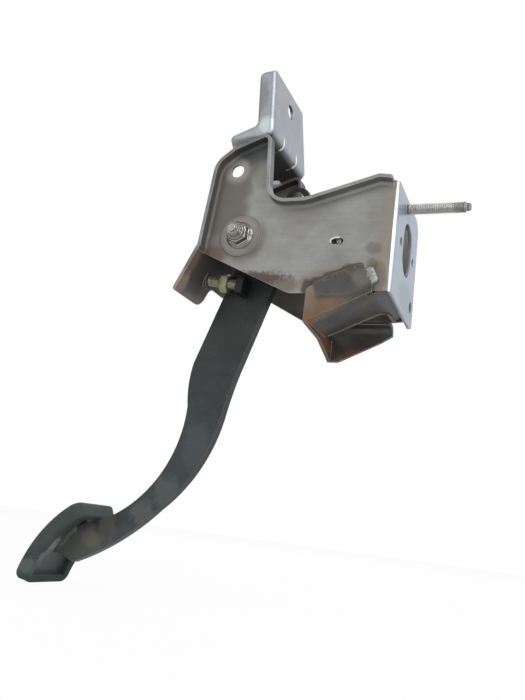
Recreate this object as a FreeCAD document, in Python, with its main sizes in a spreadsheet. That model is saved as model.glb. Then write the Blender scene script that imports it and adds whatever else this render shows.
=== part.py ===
import FreeCAD, Part
import Sketcher
import math
import os
from FreeCAD import Placement, Rotation, Vector

# Clutch pedal in its mounting bracket, in millimetres.
# The origin is the centre of the cable opening on the engine-side face of the flange.
# +X points through the flange to the engine, +Y to the far side wall, +Z up.

SIZES = {
    # Pressed sheet and walls of the bracket
    "sheet_thickness": 2.5,
    "near_face": 40.0,
    "far_face": 30.0,
    "rim_height": 8.0,
    "rim_bend": 2.5,
    "corner_bend": 3.5,
    # Outline of the side walls, measured back from the flange face and up or down from the origin
    "heel_back": 147.0,
    "heel_down": 12.0,
    "belly_back": 73.0,
    "belly_down": 45.0,
    "belly_round": 14.0,
    "far_belly_drop": 5.5,
    "front_down": 43.0,
    "front_up": 38.0,
    "brow_back": 13.0,
    "brow_up": 40.0,
    "notch_floor_back": 66.0,
    "notch_floor_up": 25.0,
    "notch_back": 93.5,
    "notch_round": 14.0,
    "notch_top_back": 98.5,
    "crown_back": 127.0,
    "crown_round": 17.0,
    "rear_top_back": 141.5,
    "rear_top_up": 58.0,
    "front_relief": 4.0,
    # Holes of the near wall
    "wall_hole_back": 126.0,
    "wall_hole_up": 53.6,
    "wall_hole_bore": 10.5,
    "lance_back": 41.0,
    "lance_down": 6.0,
    "lance_length": 9.0,
    "lance_width": 4.5,
    "boss_width": 33.0,
    "boss_rise": 1.2,
    # Flange
    "flange_far_top": 33.0,
    "flange_far_low": 35.5,
    "flange_top_up": 36.0,
    "flange_far_down": 49.0,
    "flange_round": 12.0,
    "opening_width": 28.0,
    "opening_height": 40.0,
    "opening_rise": 1.5,
    "cable_bolt_spacing": 42.0,
    "cable_bolt_bore": 7.0,
    "low_hole_far": 26.0,
    "low_hole_down": 34.0,
    "low_hole_bore": 9.0,
    # Stop tab and its screw
    "tab_angle": 24.0,
    "tab_length": 35.0,
    "tab_rise": 4.0,
    "tab_lip": 10.0,
    "tab_far_edge": 7.0,
    "tab_round": 8.0,
    "cross_drop": 18.0,
    "cross_rise": 10.0,
    "cross_gap": 1.0,
    "stop_near": 15.0,
    "stop_below_heel": 15.0,
    "stop_tilt": 9.0,
    "screw_diameter": 8.0,
    "screw_reach": 27.0,
    "screw_head_across": 13.0,
    "screw_head_height": 5.3,
    "lock_nut_start": 12.5,
    "lock_nut_height": 6.5,
    "stop_gap": 0.3,
    "collar_diameter": 14.0,
    "collar_back": 4.0,
    "collar_front": 1.5,
    "lug_height": 14.0,
    "lug_out": 7.0,
    "lug_thickness": 6.0,
    # Top bracket
    "foot_corner_back": 98.7,
    "foot_corner_up": 80.5,
    "foot_slope": 21.0,
    "foot_length": 34.0,
    "mast_height": 56.0,
    "mast_lean": 4.5,
    "channel_depth": 14.0,
    "channel_near": 45.0,
    "channel_far": 29.7,
    "channel_bend": 4.0,
    "mast_top_far": 19.0,
    "mast_hole_bore": 12.0,
    "mast_hole_near": 9.0,
    "mast_hole_below_top": 17.0,
    "foot_hole_bore": 9.0,
    "foot_hole_far": 20.0,
    "foot_hole_back": 21.8,
    "dart_near": 21.0,
    "dart_far": 8.0,
    "dart_width": 1.4,
    "dart_reach": 8.5,
    # Lower gusset
    "gusset_left_back": 59.0,
    "gusset_left_down": 66.0,
    "gusset_right_back": 12.0,
    "gusset_right_down": 44.0,
    "lap_left_down": 41.0,
    "lap_right_back": 19.0,
    "lap_right_down": 25.0,
    "gusset_far": 30.0,
    "arch_far": 2.0,
    "arch_round": 10.0,
    "strap_far": 20.0,
    "strap_drop": 13.0,
    "strap_end_back": 10.0,
    "strap_lip": 14.0,
    "strap_bend": 7.0,
    "sole_relief_back": 16.5,
    # Weld beads
    "weld_leg": 3.0,
    "weld_width": 4.0,
    "weld_height": 3.0,
    "foot_weld_length": 20.0,
    "corner_weld_length": 24.0,
    # Stud
    "stud_diameter": 8.0,
    "stud_length": 45.0,
    "stud_near": 10.0,
    "stud_up": 29.5,
    "stud_point_diameter": 5.6,
    "stud_point_length": 3.0,
    "stud_head_diameter": 13.0,
    "stud_head_height": 2.0,
    "stud_neck_length": 1.5,
    "stud_neck_depth": 0.5,
    # Pivot
    "pivot_back": 116.0,
    "bolt_diameter": 10.0,
    "bolt_hole_clearance": 0.2,
    "bolt_end_out": 17.0,
    "bolt_head_across": 15.0,
    "bolt_head_height": 9.0,
    "bolt_flange_diameter": 21.0,
    "bolt_flange_height": 1.8,
    "pivot_nut_height": 10.0,
    "sleeve_diameter": 16.0,
    "bush_running_clearance": 0.05,
    "bush_wall": 3.0,
    "bush_flange_height": 2.0,
    "bush_length": 18.0,
    "tube_wall": 2.5,
    "side_play": 0.3,
    # Arm
    "arm_thickness": 8.0,
    "arm_near": 8.0,
    "boss_radius": 20.0,
    "arm_end_width": 26.0,
    "shoulder_back": 40.5,
    "shoulder_drop": 90.0,
    "shoulder_bow": 1.75,
    "knee_below_shoulder": 34.0,
    "knee_bow": 13.45,
    "shin_back": 89.0,
    "shin_drop": 210.5,
    "calf_behind_shin": 30.8,
    "calf_below_shin": 39.2,
    "calf_bow": 4.1,
    "instep_before_shin": 37.0,
    "instep_above_shin": 8.0,
    "instep_bow": 7.7,
    "thigh_before_knee": 30.0,
    "thigh_below_knee": 2.0,
    "thigh_bow": 0.7,
    "hip_before_shoulder": 39.5,
    "hip_above_shoulder": 2.0,
    "lever_forward": 29.0,
    "lever_up": 43.0,
    "lever_round": 10.0,
    "cable_pin_diameter": 8.0,
    "cable_pin_length": 14.0,
    "cable_pin_head": 12.0,
    "cable_pin_head_height": 2.0,
    "cable_pin_shoulder": 1.5,
    # Pad
    "pad_centre_back": 250.2,
    "pad_centre_down": 228.5,
    "pad_angle": 52.3,
    "pad_radius": 100.0,
    "pad_length": 78.5,
    "pad_low_shift": 2.25,
    "pad_width": 53.0,
    "pad_centre_near": 7.5,
    "pad_depth": 12.0,
    "pad_skin": 4.0,
    "pad_plate_thickness": 2.5,
    "pad_rim": 4.0,
    "pad_lip": 3.0,
    "pad_corner": 8.0,
    "pad_groove_width": 3.0,
    "pad_groove_depth": 1.6,
    "pad_groove_pitch": 8.0,
    # Return spring
    "wire_diameter": 3.0,
    "spring_clearance": 0.8,
    "spring_turns": 4.5,
    "spring_pitch": 3.8,
    "spring_start": 3.6,
    "spring_tail": 12.0,
    "spring_bend": 3.0,
    "hook_drop": 25.0,
    "tail_hole_bore": 4.0,
}

doc = FreeCAD.newDocument("clutch_pedal")
sheet = doc.addObject("Spreadsheet::Sheet", "Sizes")
for row, (alias, value) in enumerate(SIZES.items(), 1):
    sheet.set(f"A{row}", alias)
    sheet.set(f"B{row}", str(value))
    sheet.setAlias(f"B{row}", alias)
doc.recompute()


def size(alias):
    """The number in the sheet's cell of that name."""
    return float(sheet.get(alias))


PARTS = {}


def keep(label, item):
    """Name an object as a sub-part, to be written to its own file."""
    item.Label = label
    PARTS[label] = item
    return item


def new_body(label):
    """A body that becomes one sub-part."""
    return keep(label, doc.addObject("PartDesign::Body", label))


def sketch_on(body, name, role, offset="0"):
    """A sketch on one of the body's origin planes, moved along the plane's normal."""
    sketch = body.newObject("Sketcher::SketchObject", name)
    plane = next(part for part in body.Origin.OriginFeatures if part.Role == role)
    sketch.AttachmentSupport = [(plane, "")]
    sketch.MapMode = "FlatFace"
    sketch.setExpression("AttachmentOffset.Base.z", offset)
    return sketch


def rounded(corners):
    """Lines and tangent arcs of a closed outline whose corners are (across, up, radius)."""
    places = [Vector(across, up, 0) for across, up, _ in corners]
    turns = []
    for index, (_, _, radius) in enumerate(corners):
        here = places[index]
        back = (places[index - 1] - here).normalize()
        ahead = (places[(index + 1) % len(places)] - here).normalize()
        half = back.getAngle(ahead) / 2
        if radius > 0:
            reach = radius / math.tan(half)
            middle = here + (back + ahead).normalize() * (radius / math.sin(half) - radius)
            turns.append((here + back * reach, middle, here + ahead * reach))
        else:
            turns.append((here, None, here))
    pieces = []
    for index, (start, middle, stop) in enumerate(turns):
        if middle:
            pieces.append(Part.Arc(start, middle, stop))
        pieces.append(Part.LineSegment(stop, turns[(index + 1) % len(turns)][0]))
    return pieces


def inset(corners, depths):
    """The anticlockwise outline with each edge, from its corner to the next, moved inwards."""
    count = len(corners)
    lines = []
    for index, depth in enumerate(depths):
        start = Vector(corners[index][0], corners[index][1], 0)
        end = Vector(corners[(index + 1) % count][0], corners[(index + 1) % count][1], 0)
        along = (end - start).normalize()
        inward = Vector(-along.y, along.x, 0)
        lines.append((start + inward * depth, along))
    result = []
    for index, (point, along) in enumerate(lines):
        before, back_along = lines[index - 1]
        cross = back_along.x * along.y - back_along.y * along.x
        gap = point - before
        step = (gap.x * along.y - gap.y * along.x) / cross
        place = before + back_along * step
        radius = corners[index][2]
        depth = depths[index]
        grown = radius - depth if cross > 0 else radius + depth
        sharp = radius == 0 or depth < 0 or depths[index - 1] < 0
        result.append((place.x, place.y, 0 if sharp else max(grown, 0.5)))
    return result


def hexagon(across, turn=0):
    """Corners of a hexagon about the sketch's origin, from its width across flats and its turn."""
    radius = across / math.sqrt(3)
    angles = [math.radians(60 * n + turn) for n in range(6)]
    return [(radius * math.cos(angle), radius * math.sin(angle), 0) for angle in angles]


def draw(sketch, corners):
    """Add a rounded outline to a sketch."""
    sketch.addGeometry(rounded(corners), False)
    return sketch


def add_circle(sketch, across, up, width):
    """Add a circle whose place and diameter are bound to expressions of the sheet."""
    start = Part.Circle(Vector(1, 1, 0), Vector(0, 0, 1), 1)
    index = sketch.addGeometry(start, False)
    for kind, formula in (("DistanceX", across), ("DistanceY", up)):
        rule = sketch.addConstraint(Sketcher.Constraint(kind, -1, 1, index, 3, 1.0))
        sketch.setExpression(f"Constraints[{rule}]", formula)
    rule = sketch.addConstraint(Sketcher.Constraint("Diameter", index, 2.0))
    sketch.setExpression(f"Constraints[{rule}]", width)
    return sketch


def add_pad(body, name, sketch, length, reverse=False):
    """Raise a sketch by a length from the sheet."""
    pad = body.newObject("PartDesign::Pad", name)
    pad.Profile = sketch
    pad.Reversed = reverse
    pad.setExpression("Length", length)
    doc.recompute()
    return pad


def add_pocket(body, name, sketch, length, reverse=False):
    """Cut a sketch into the body and make sure that it took something away."""
    before = body.Tip.Shape.Volume
    pocket = body.newObject("PartDesign::Pocket", name)
    pocket.Profile = sketch
    pocket.Reversed = reverse
    pocket.setExpression("Length", length)
    doc.recompute()
    if before - pocket.Shape.Volume < 0.5:
        raise ValueError(f"{name} cuts nothing")
    return pocket


def add_fillet(body, name, radius, wanted):
    """Round the edges of the body's last feature that a test picks out."""
    base = body.Tip
    names = [f"Edge{n}" for n, edge in enumerate(base.Shape.Edges, 1) if wanted(edge)]
    fillet = body.newObject("PartDesign::Fillet", name)
    fillet.Base = (base, names)
    fillet.setExpression("Radius", radius)
    doc.recompute()
    return fillet


def middle_of(edge):
    """The point halfway along an edge."""
    return edge.valueAt((edge.FirstParameter + edge.LastParameter) / 2)


def lies_at(edge, axis, place):
    """Whether a whole edge keeps one coordinate, such as y, at a place."""
    points = [vertex.Point for vertex in edge.Vertexes] + [middle_of(edge)]
    return all(abs(getattr(point, axis) - place) < 0.001 for point in points)


def turned(label, role, axis, corners):
    """A turned piece: its half section on an origin plane, revolved about a sketch axis."""
    body = new_body(label)
    profile = draw(sketch_on(body, f"{label}_section", role), corners)
    solid = body.newObject("PartDesign::Revolution", f"{label}_turning")
    solid.Profile = profile
    solid.ReferenceAxis = (profile, [axis])
    solid.Angle = 360
    doc.recompute()
    return body


def at_pivot(body):
    """Move a piece made about the Y axis to the pivot."""
    body.setExpression("Placement.Base.x", "-Sizes.pivot_back")
    return body


def foot_height(back):
    """Height of the top bracket's sole at a distance behind the flange."""
    behind = back - size("foot_corner_back")
    return size("foot_corner_up") - behind * math.tan(math.radians(size("foot_slope")))


def wall_outline(drop, front):
    """Outline of a side wall, anticlockwise seen from the near side, from its heel."""
    return [
        (-size("heel_back"), -size("heel_down"), 2),
        (-size("belly_back"), -size("belly_down") - drop, size("belly_round")),
        (-front, -size("front_down"), 0),
        (-front, size("front_up"), 0),
        (-size("brow_back"), size("brow_up"), 6),
        (-size("notch_floor_back"), size("notch_floor_up"), 20),
        (-size("notch_back"), size("notch_floor_up"), size("notch_round")),
        (-size("notch_top_back"), foot_height(size("notch_top_back")), 5.5),
        (-size("crown_back"), foot_height(size("crown_back")), size("crown_round")),
        (-size("rear_top_back"), size("rear_top_up"), size("crown_round")),
    ]


def wall_tray(corners):
    """The space inside a wall's turned rim, open past its belly, lower and front edges."""
    past = -size("near_face")
    rim = size("sheet_thickness")
    return inset(corners, [past, past, past] + [rim for _ in corners[3:]])


def stop_point():
    """Where the stop screw's axis leaves the engine side of the tab."""
    down = math.radians(size("tab_angle"))
    along = size("stop_below_heel")
    return Vector(-size("heel_back") - along * math.sin(down) + size("sheet_thickness"),
                  -size("stop_near"), -size("heel_down") - along * math.cos(down))


def stop_sketch(body, name, depth):
    """A sketch square to the stop screw's axis, at a depth along it from the tab."""
    sketch = sketch_on(body, name, "YZ_Plane")
    tilt = Rotation(Vector(1, 0, 0), size("stop_tilt"))
    place = stop_point()
    start = Vector(place.y, place.z, place.x) + tilt.multVec(Vector(0, 0, depth))
    sketch.setExpression("AttachmentOffset.Base.z", None)
    sketch.AttachmentOffset = Placement(start, tilt)
    return sketch


def build_side_plate():
    """Near wall, turned rim, flange and stop tab with its cross panel, pressed from one sheet."""
    body = new_body("side_plate")
    outline = wall_outline(0, 0)
    blank = sketch_on(body, "side_blank", "XZ_Plane", "Sizes.near_face - Sizes.sheet_thickness")
    add_pad(body, "side_block", draw(blank, outline), "Sizes.rim_height + Sizes.sheet_thickness")
    inner = -size("near_face") + size("sheet_thickness")
    add_fillet(body, "side_rim_back", "Sizes.rim_bend + 1.5", lambda edge: lies_at(edge, "y", inner)
               and middle_of(edge).z > -size("heel_down") and middle_of(edge).x < -0.1)
    tray = sketch_on(body, "side_tray", "XZ_Plane", "Sizes.near_face + Sizes.rim_height")
    add_pocket(body, "side_tray_cut", draw(tray, wall_tray(outline)), "Sizes.rim_height")
    outer = -size("near_face")
    add_fillet(body, "side_rim_root", "Sizes.rim_bend", lambda edge: lies_at(edge, "y", outer)
               and middle_of(edge).z > -size("heel_down") and middle_of(edge).x < -0.1
               and middle_of(edge).x > -size("heel_back") + size("sheet_thickness") - 0.5)
    relief = sketch_on(body, "side_relief", "XZ_Plane", "Sizes.near_face + Sizes.rim_height")
    reach = 20
    draw(relief, [(-size("front_relief"), 0, 0), (reach, 0, 0),
                  (reach, size("brow_up") + reach, 0), (-size("front_relief"), size("brow_up") + reach, 0)])
    add_pocket(body, "side_relief_cut", relief, "Sizes.rim_height")
    flange = sketch_on(body, "flange_outline", "YZ_Plane")
    near = -size("near_face")
    draw(flange, [
        (near, -size("front_down"), 0),
        (size("flange_far_low"), -size("flange_far_down"), 4),
        (size("flange_far_top"), size("flange_top_up"), size("flange_round")),
        (near, size("front_up"), 0),
    ])
    add_pad(body, "flange_panel", flange, "Sizes.sheet_thickness", reverse=True)
    add_fillet(body, "flange_bend", "Sizes.corner_bend", lambda edge: lies_at(edge, "y", near)
               and lies_at(edge, "x", 0))
    opening = sketch_on(body, "cable_opening", "YZ_Plane")
    half_width = size("opening_width") / 2
    low = size("opening_rise") - size("opening_height") / 2
    high = size("opening_rise") + size("opening_height") / 2
    round_end = half_width - 0.01
    draw(opening, [(-half_width, low, round_end), (half_width, low, round_end),
                   (half_width, high, round_end), (-half_width, high, round_end)])
    add_pocket(body, "cable_opening_cut", opening, "Sizes.sheet_thickness")
    holes = sketch_on(body, "flange_holes", "YZ_Plane")
    add_circle(holes, "Sizes.cable_bolt_spacing / 2", "0", "Sizes.cable_bolt_bore")
    add_circle(holes, "-Sizes.cable_bolt_spacing / 2", "0", "Sizes.cable_bolt_bore")
    add_circle(holes, "Sizes.low_hole_far", "-Sizes.low_hole_down", "Sizes.low_hole_bore")
    add_circle(holes, "-Sizes.stud_near", "Sizes.stud_up", "Sizes.stud_diameter")
    add_pocket(body, "flange_holes_cut", holes, "Sizes.sheet_thickness")
    tab = sketch_on(body, "tab_outline", "YZ_Plane")
    tab.AttachmentOffset = Placement(Vector(0, 0, 0), Rotation(Vector(1, 0, 0), size("tab_angle")))
    tab.setExpression("AttachmentOffset.Base.y", "-Sizes.heel_down")
    tab.setExpression("AttachmentOffset.Base.z", "-Sizes.heel_back")
    tab_near = -size("near_face") - size("tab_lip")
    cross_far = size("far_face") - size("rim_height") - size("cross_gap")
    draw(tab, [
        (tab_near, -size("tab_length"), 3),
        (-size("tab_far_edge"), -size("tab_length"), size("tab_round")),
        (-size("tab_far_edge"), -size("cross_drop"), 5),
        (cross_far, -size("cross_drop"), 3),
        (cross_far, size("cross_rise"), 3),
        (inner - 1, size("cross_rise"), 0),
        (inner - 1, size("tab_rise"), 0),
        (tab_near, size("tab_rise"), 2),
    ])
    add_pad(body, "tab_panel", tab, "Sizes.sheet_thickness")
    collar = stop_sketch(body, "collar_outline", -size("collar_back"))
    add_circle(collar, "0", "0", "Sizes.collar_diameter")
    add_pad(body, "collar_ring", collar, "Sizes.collar_back + Sizes.collar_front")
    bore = stop_sketch(body, "collar_bore", -size("collar_back"))
    add_circle(bore, "0", "0", "Sizes.screw_diameter")
    add_pocket(body, "collar_bore_cut", bore, "Sizes.collar_back + Sizes.collar_front", True)
    boss = sketch_on(body, "pivot_boss", "XZ_Plane", "Sizes.near_face - 0.5")
    add_circle(boss, "-Sizes.pivot_back", "0", "Sizes.boss_width")
    add_pad(body, "pivot_boss_rise", boss, "Sizes.boss_rise + 0.5")
    seat = -size("near_face") - size("boss_rise")
    add_fillet(body, "pivot_boss_edge", "Sizes.boss_rise * 0.8", lambda edge: lies_at(edge, "y", seat))
    bores = sketch_on(body, "wall_holes", "XZ_Plane", "Sizes.near_face + Sizes.boss_rise")
    add_circle(bores, "-Sizes.pivot_back", "0", "Sizes.bolt_diameter + 2 * Sizes.bolt_hole_clearance")
    add_circle(bores, "-Sizes.wall_hole_back", "Sizes.wall_hole_up", "Sizes.wall_hole_bore")
    add_pocket(body, "wall_holes_cut", bores, "Sizes.sheet_thickness + Sizes.boss_rise")
    lance = sketch_on(body, "lance_outline", "XZ_Plane", "Sizes.near_face")
    left = -size("lance_back") - size("lance_length") / 2
    right = -size("lance_back") + size("lance_length") / 2
    bottom = -size("lance_down") - size("lance_width") / 2
    top = -size("lance_down") + size("lance_width") / 2
    end = size("lance_width") / 2 - 0.01
    draw(lance, [(left, bottom, end), (right, bottom, end), (right, top, end), (left, top, end)])
    add_pocket(body, "lance_cut", lance, "Sizes.sheet_thickness")


def build_far_plate():
    """Far wall, butted on the inside of the flange, with its rim turned to the near side."""
    body = new_body("far_plate")
    outline = wall_outline(size("far_belly_drop"), size("sheet_thickness"))
    blank = sketch_on(body, "far_blank", "XZ_Plane", "-Sizes.far_face - Sizes.sheet_thickness")
    add_pad(body, "far_block", draw(blank, outline), "Sizes.rim_height + Sizes.sheet_thickness")
    tray = sketch_on(body, "far_tray", "XZ_Plane", "-Sizes.far_face + Sizes.rim_height")
    add_pocket(body, "far_tray_cut", draw(tray, wall_tray(outline)), "Sizes.rim_height")
    bores = sketch_on(body, "far_holes", "XZ_Plane", "-Sizes.far_face")
    add_circle(bores, "-Sizes.pivot_back", "0", "Sizes.bolt_diameter + 2 * Sizes.bolt_hole_clearance")
    tail = spring_tail_place()
    add_circle(bores, f"{tail.x}", f"{tail.z}", "Sizes.tail_hole_bore")
    add_pocket(body, "far_holes_cut", bores, "Sizes.sheet_thickness")


def channel_frame():
    """Outer corner of the bent channel, the directions of its foot and mast, and its bends."""
    corner = Vector(-size("foot_corner_back"), size("foot_corner_up"), 0)
    slope = math.radians(size("foot_slope"))
    foot = Vector(-math.cos(slope), -math.sin(slope), 0)
    lean = math.radians(size("mast_lean"))
    mast = Vector(-math.sin(lean), math.cos(lean), 0)
    foot_in = Vector(-math.sin(slope), math.cos(slope), 0)
    mast_in = Vector(-math.cos(lean), -math.sin(lean), 0)

    def bend(depth):
        """The corner of the two faces moved in by a depth."""
        start = corner + foot_in * depth
        gap = corner + mast_in * depth - start
        cross = foot.x * mast.y - foot.y * mast.x
        return start + foot * ((gap.x * mast.y - gap.y * mast.x) / cross)

    return corner, foot, mast, foot_in, mast_in, bend


def build_top_bracket():
    """L-shaped channel: a mast that faces the engine and a sloping foot on the side walls."""
    body = new_body("top_bracket")
    corner, foot, mast, foot_in, mast_in, bend = channel_frame()
    depth = size("channel_depth")
    thick = size("sheet_thickness")
    mast_end = corner + mast * size("mast_height")
    foot_end = corner + foot * size("foot_length")
    profile = [
        (corner.x, corner.y, size("channel_bend") + thick),
        (mast_end.x, mast_end.y, 1),
        ((mast_end + mast_in * depth).x, (mast_end + mast_in * depth).y, 5),
        (bend(depth).x, bend(depth).y, 4),
        ((foot_end + foot_in * depth).x, (foot_end + foot_in * depth).y, 4),
        (foot_end.x, foot_end.y, 1),
    ]
    band = sketch_on(body, "channel_band", "XZ_Plane", "Sizes.channel_near")
    add_pad(body, "channel_block", draw(band, profile), "Sizes.channel_near + Sizes.channel_far", True)
    past = 15
    near = -size("channel_near")
    far = size("channel_far")
    clip = sketch_on(body, "mast_clip", "YZ_Plane")
    top = corner.y + size("mast_height")
    low = corner.y + size("channel_bend") + size("sheet_thickness")
    draw(clip, [(far, low, 0), (far + past, low, 0), (far + past, top + past, 0),
                (size("mast_top_far"), top + past, 0), (size("mast_top_far"), top, 0)])
    add_pocket(body, "mast_clip_cut", clip, "Sizes.foot_corner_back + 60", False)

    def outer_edge(edge):
        """Whether an edge runs along the web's outer face on the near side."""
        place = Vector(middle_of(edge).x, middle_of(edge).z, 0)
        outside = min(abs((place - corner).dot(foot_in)), abs((place - corner).dot(mast_in)))
        return lies_at(edge, "y", near) and (outside < 0.01 or (place - corner).Length < 5)

    add_fillet(body, "channel_edges", "Sizes.channel_bend", outer_edge)
    mast_past = corner + mast_in * thick + mast * (size("mast_height") + past)
    foot_past = corner + foot_in * thick + foot * (size("foot_length") + past)
    hollow = [
        (bend(thick).x, bend(thick).y, size("channel_bend")),
        (mast_past.x, mast_past.y, 0),
        ((mast_past + mast_in * (depth + past)).x, (mast_past + mast_in * (depth + past)).y, 0),
        (bend(depth + past).x, bend(depth + past).y, 0),
        ((foot_past + foot_in * (depth + past)).x, (foot_past + foot_in * (depth + past)).y, 0),
        (foot_past.x, foot_past.y, 0),
    ]
    room = sketch_on(body, "channel_room", "XZ_Plane", "Sizes.channel_near - Sizes.sheet_thickness")
    add_pocket(body, "channel_hollow", draw(room, hollow),
               "Sizes.channel_near + Sizes.channel_far - 2 * Sizes.sheet_thickness")
    hole = sketch_on(body, "mast_hole", "YZ_Plane")
    add_circle(hole, "-Sizes.mast_hole_near",
               "Sizes.foot_corner_up + Sizes.mast_height - Sizes.mast_hole_below_top",
               "Sizes.mast_hole_bore")
    add_pocket(body, "mast_hole_cut", hole, "Sizes.foot_corner_back + 30")
    sole = sketch_on(body, "foot_hole", "XY_Plane")
    add_circle(sole, "-Sizes.foot_corner_back - Sizes.foot_hole_back", "Sizes.foot_hole_far",
               "Sizes.foot_hole_bore")
    add_pocket(body, "foot_hole_cut", sole, "Sizes.foot_corner_up", True)
    for name, place in (("near_dart", "Sizes.dart_near"), ("far_dart", "-Sizes.dart_far")):
        dart = sketch_on(body, name, "XZ_Plane", f"{place} + Sizes.dart_width / 2")
        low = corner + foot * size("dart_reach") - foot_in
        high = corner + mast * size("dart_reach") - mast_in
        draw(dart, [((low + foot_in).x, (low + foot_in).y, 0), (low.x, low.y, 0),
                    ((corner - foot_in - mast_in).x, (corner - foot_in - mast_in).y, 0),
                    (high.x, high.y, 0), ((high + mast_in).x, (high + mast_in).y, 0)])
        add_pocket(body, f"{name}_cut", dart, "Sizes.dart_width")


def build_bracket_welds():
    """Beads that join the top bracket's foot to the walls' rims, one on each side."""
    corner, foot, _, foot_in, _, _ = channel_frame()
    leg = size("weld_leg")
    start = corner + foot * (size("channel_bend") + leg)
    for label, face, sense, deep in (
            ("near_foot_weld", -size("channel_near"), -1, leg),
            ("far_foot_weld", size("channel_far"), 1, size("far_face") + size("sheet_thickness")
             - size("channel_far"))):
        bead = new_body(label)
        section = sketch_on(bead, f"{label}_section", "YZ_Plane")
        draw(section, [(0, 0, 0), (sense * deep, 0, 0), (0, leg, 0)])
        add_pad(bead, f"{label}_bar", section, "Sizes.foot_weld_length", True)
        turn = Rotation(Vector(0, 1, 0), -size("foot_slope"))
        bead.Placement = Placement(Vector(start.x, face, start.y), turn)


def build_lower_gusset():
    """Formed sheet lapped on the near wall: sloping sole with an arch, end wall and curled strap."""
    body = new_body("lower_gusset")
    lap = sketch_on(body, "lap_outline", "XZ_Plane", "Sizes.near_face")
    left = (-size("gusset_left_back"), -size("gusset_left_down"))
    right = (-size("gusset_right_back"), -size("gusset_right_down"))
    draw(lap, [
        (left[0], left[1], 0),
        (right[0], right[1], 0),
        (-size("gusset_right_back"), -size("gusset_right_down") + 5, 3),
        (-size("lap_right_back"), -size("lap_right_down"), 3),
        (left[0], -size("lap_left_down"), 5),
    ])
    add_pad(body, "lap_panel", lap, "Sizes.sheet_thickness")
    slope = (right[1] - left[1]) / (right[0] - left[0])
    front = -size("sheet_thickness")
    thick = size("sheet_thickness")
    sole = sketch_on(body, "sole_section", "XZ_Plane", "Sizes.near_face + Sizes.sheet_thickness")
    draw(sole, [
        (left[0], left[1], 0),
        (front, left[1] + slope * (front - left[0]), 0),
        (front, left[1] + slope * (front - left[0]) + thick, 0),
        (left[0], left[1] + thick, 0),
    ])
    add_pad(body, "sole_panel", sole, "Sizes.near_face + Sizes.sheet_thickness + Sizes.gusset_far", True)
    arch = sketch_on(body, "arch_outline", "XY_Plane")
    past = 10
    draw(arch, [
        (left[0] - past, size("arch_far"), 0),
        (right[0], size("arch_far"), size("arch_round")),
        (right[0], size("gusset_far") + past, 0),
        (left[0] - past, size("gusset_far") + past, 0),
    ])
    add_pocket(body, "arch_cut", arch, "Sizes.gusset_left_down + 10")
    relief = sketch_on(body, "wall_relief", "XY_Plane")
    inside = -size("near_face") + thick
    draw(relief, [
        (-size("sole_relief_back"), -size("near_face"), 0),
        (right[0], -size("near_face"), 0),
        (right[0], -size("near_face") - past, 0),
        (past, -size("near_face") - past, 0),
        (past, inside, 0),
        (-size("sole_relief_back"), inside, 0),
    ])
    add_pocket(body, "wall_relief_cut", relief, "Sizes.gusset_left_down + 10")
    wall = sketch_on(body, "end_wall_outline", "YZ_Plane", "-Sizes.gusset_left_back")
    near = -size("near_face") - thick
    low = left[1] - size("strap_drop")
    draw(wall, [
        (near, left[1], 0),
        (size("arch_far") - 10, left[1] - 3, 8),
        (size("strap_far") + thick, low, 0),
        (size("strap_far") + thick, left[1] + 8, 0),
        (size("arch_far"), left[1] + thick, 3),
        (near, left[1] + thick, 0),
    ])
    add_pad(body, "end_wall_panel", wall, "Sizes.sheet_thickness")
    strap = sketch_on(body, "strap_section", "YZ_Plane", "-Sizes.gusset_left_back")
    outer = size("strap_far") + thick
    top = left[1] + 16
    lip = outer - size("strap_lip")
    bend = size("strap_bend")
    draw(strap, [
        (outer, low, 0),
        (outer, top, bend),
        (lip, top, 0),
        (lip, top - thick, 0),
        (size("strap_far"), top - thick, bend - thick),
        (size("strap_far"), low, 0),
    ])
    add_pad(body, "strap_panel", strap, "Sizes.gusset_left_back - Sizes.strap_end_back")
    trim = sketch_on(body, "strap_trim", "XZ_Plane", "-Sizes.strap_far - 2 * Sizes.sheet_thickness")
    end = -size("strap_end_back")
    run = end - left[0] - thick
    draw(trim, [
        (left[0] + thick, low - 1, 0),
        (end + 1, low - 1, 0),
        (end + 1, low + slope * run, 0),
        (end - 8, low + slope * (run - 8) - 2, 8),
        (left[0] + thick + 6, low, 3),
        (left[0] + thick, low, 0),
    ])
    add_pocket(body, "strap_trim_cut", trim, "2 * Sizes.sheet_thickness + Sizes.strap_lip", True)


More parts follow.
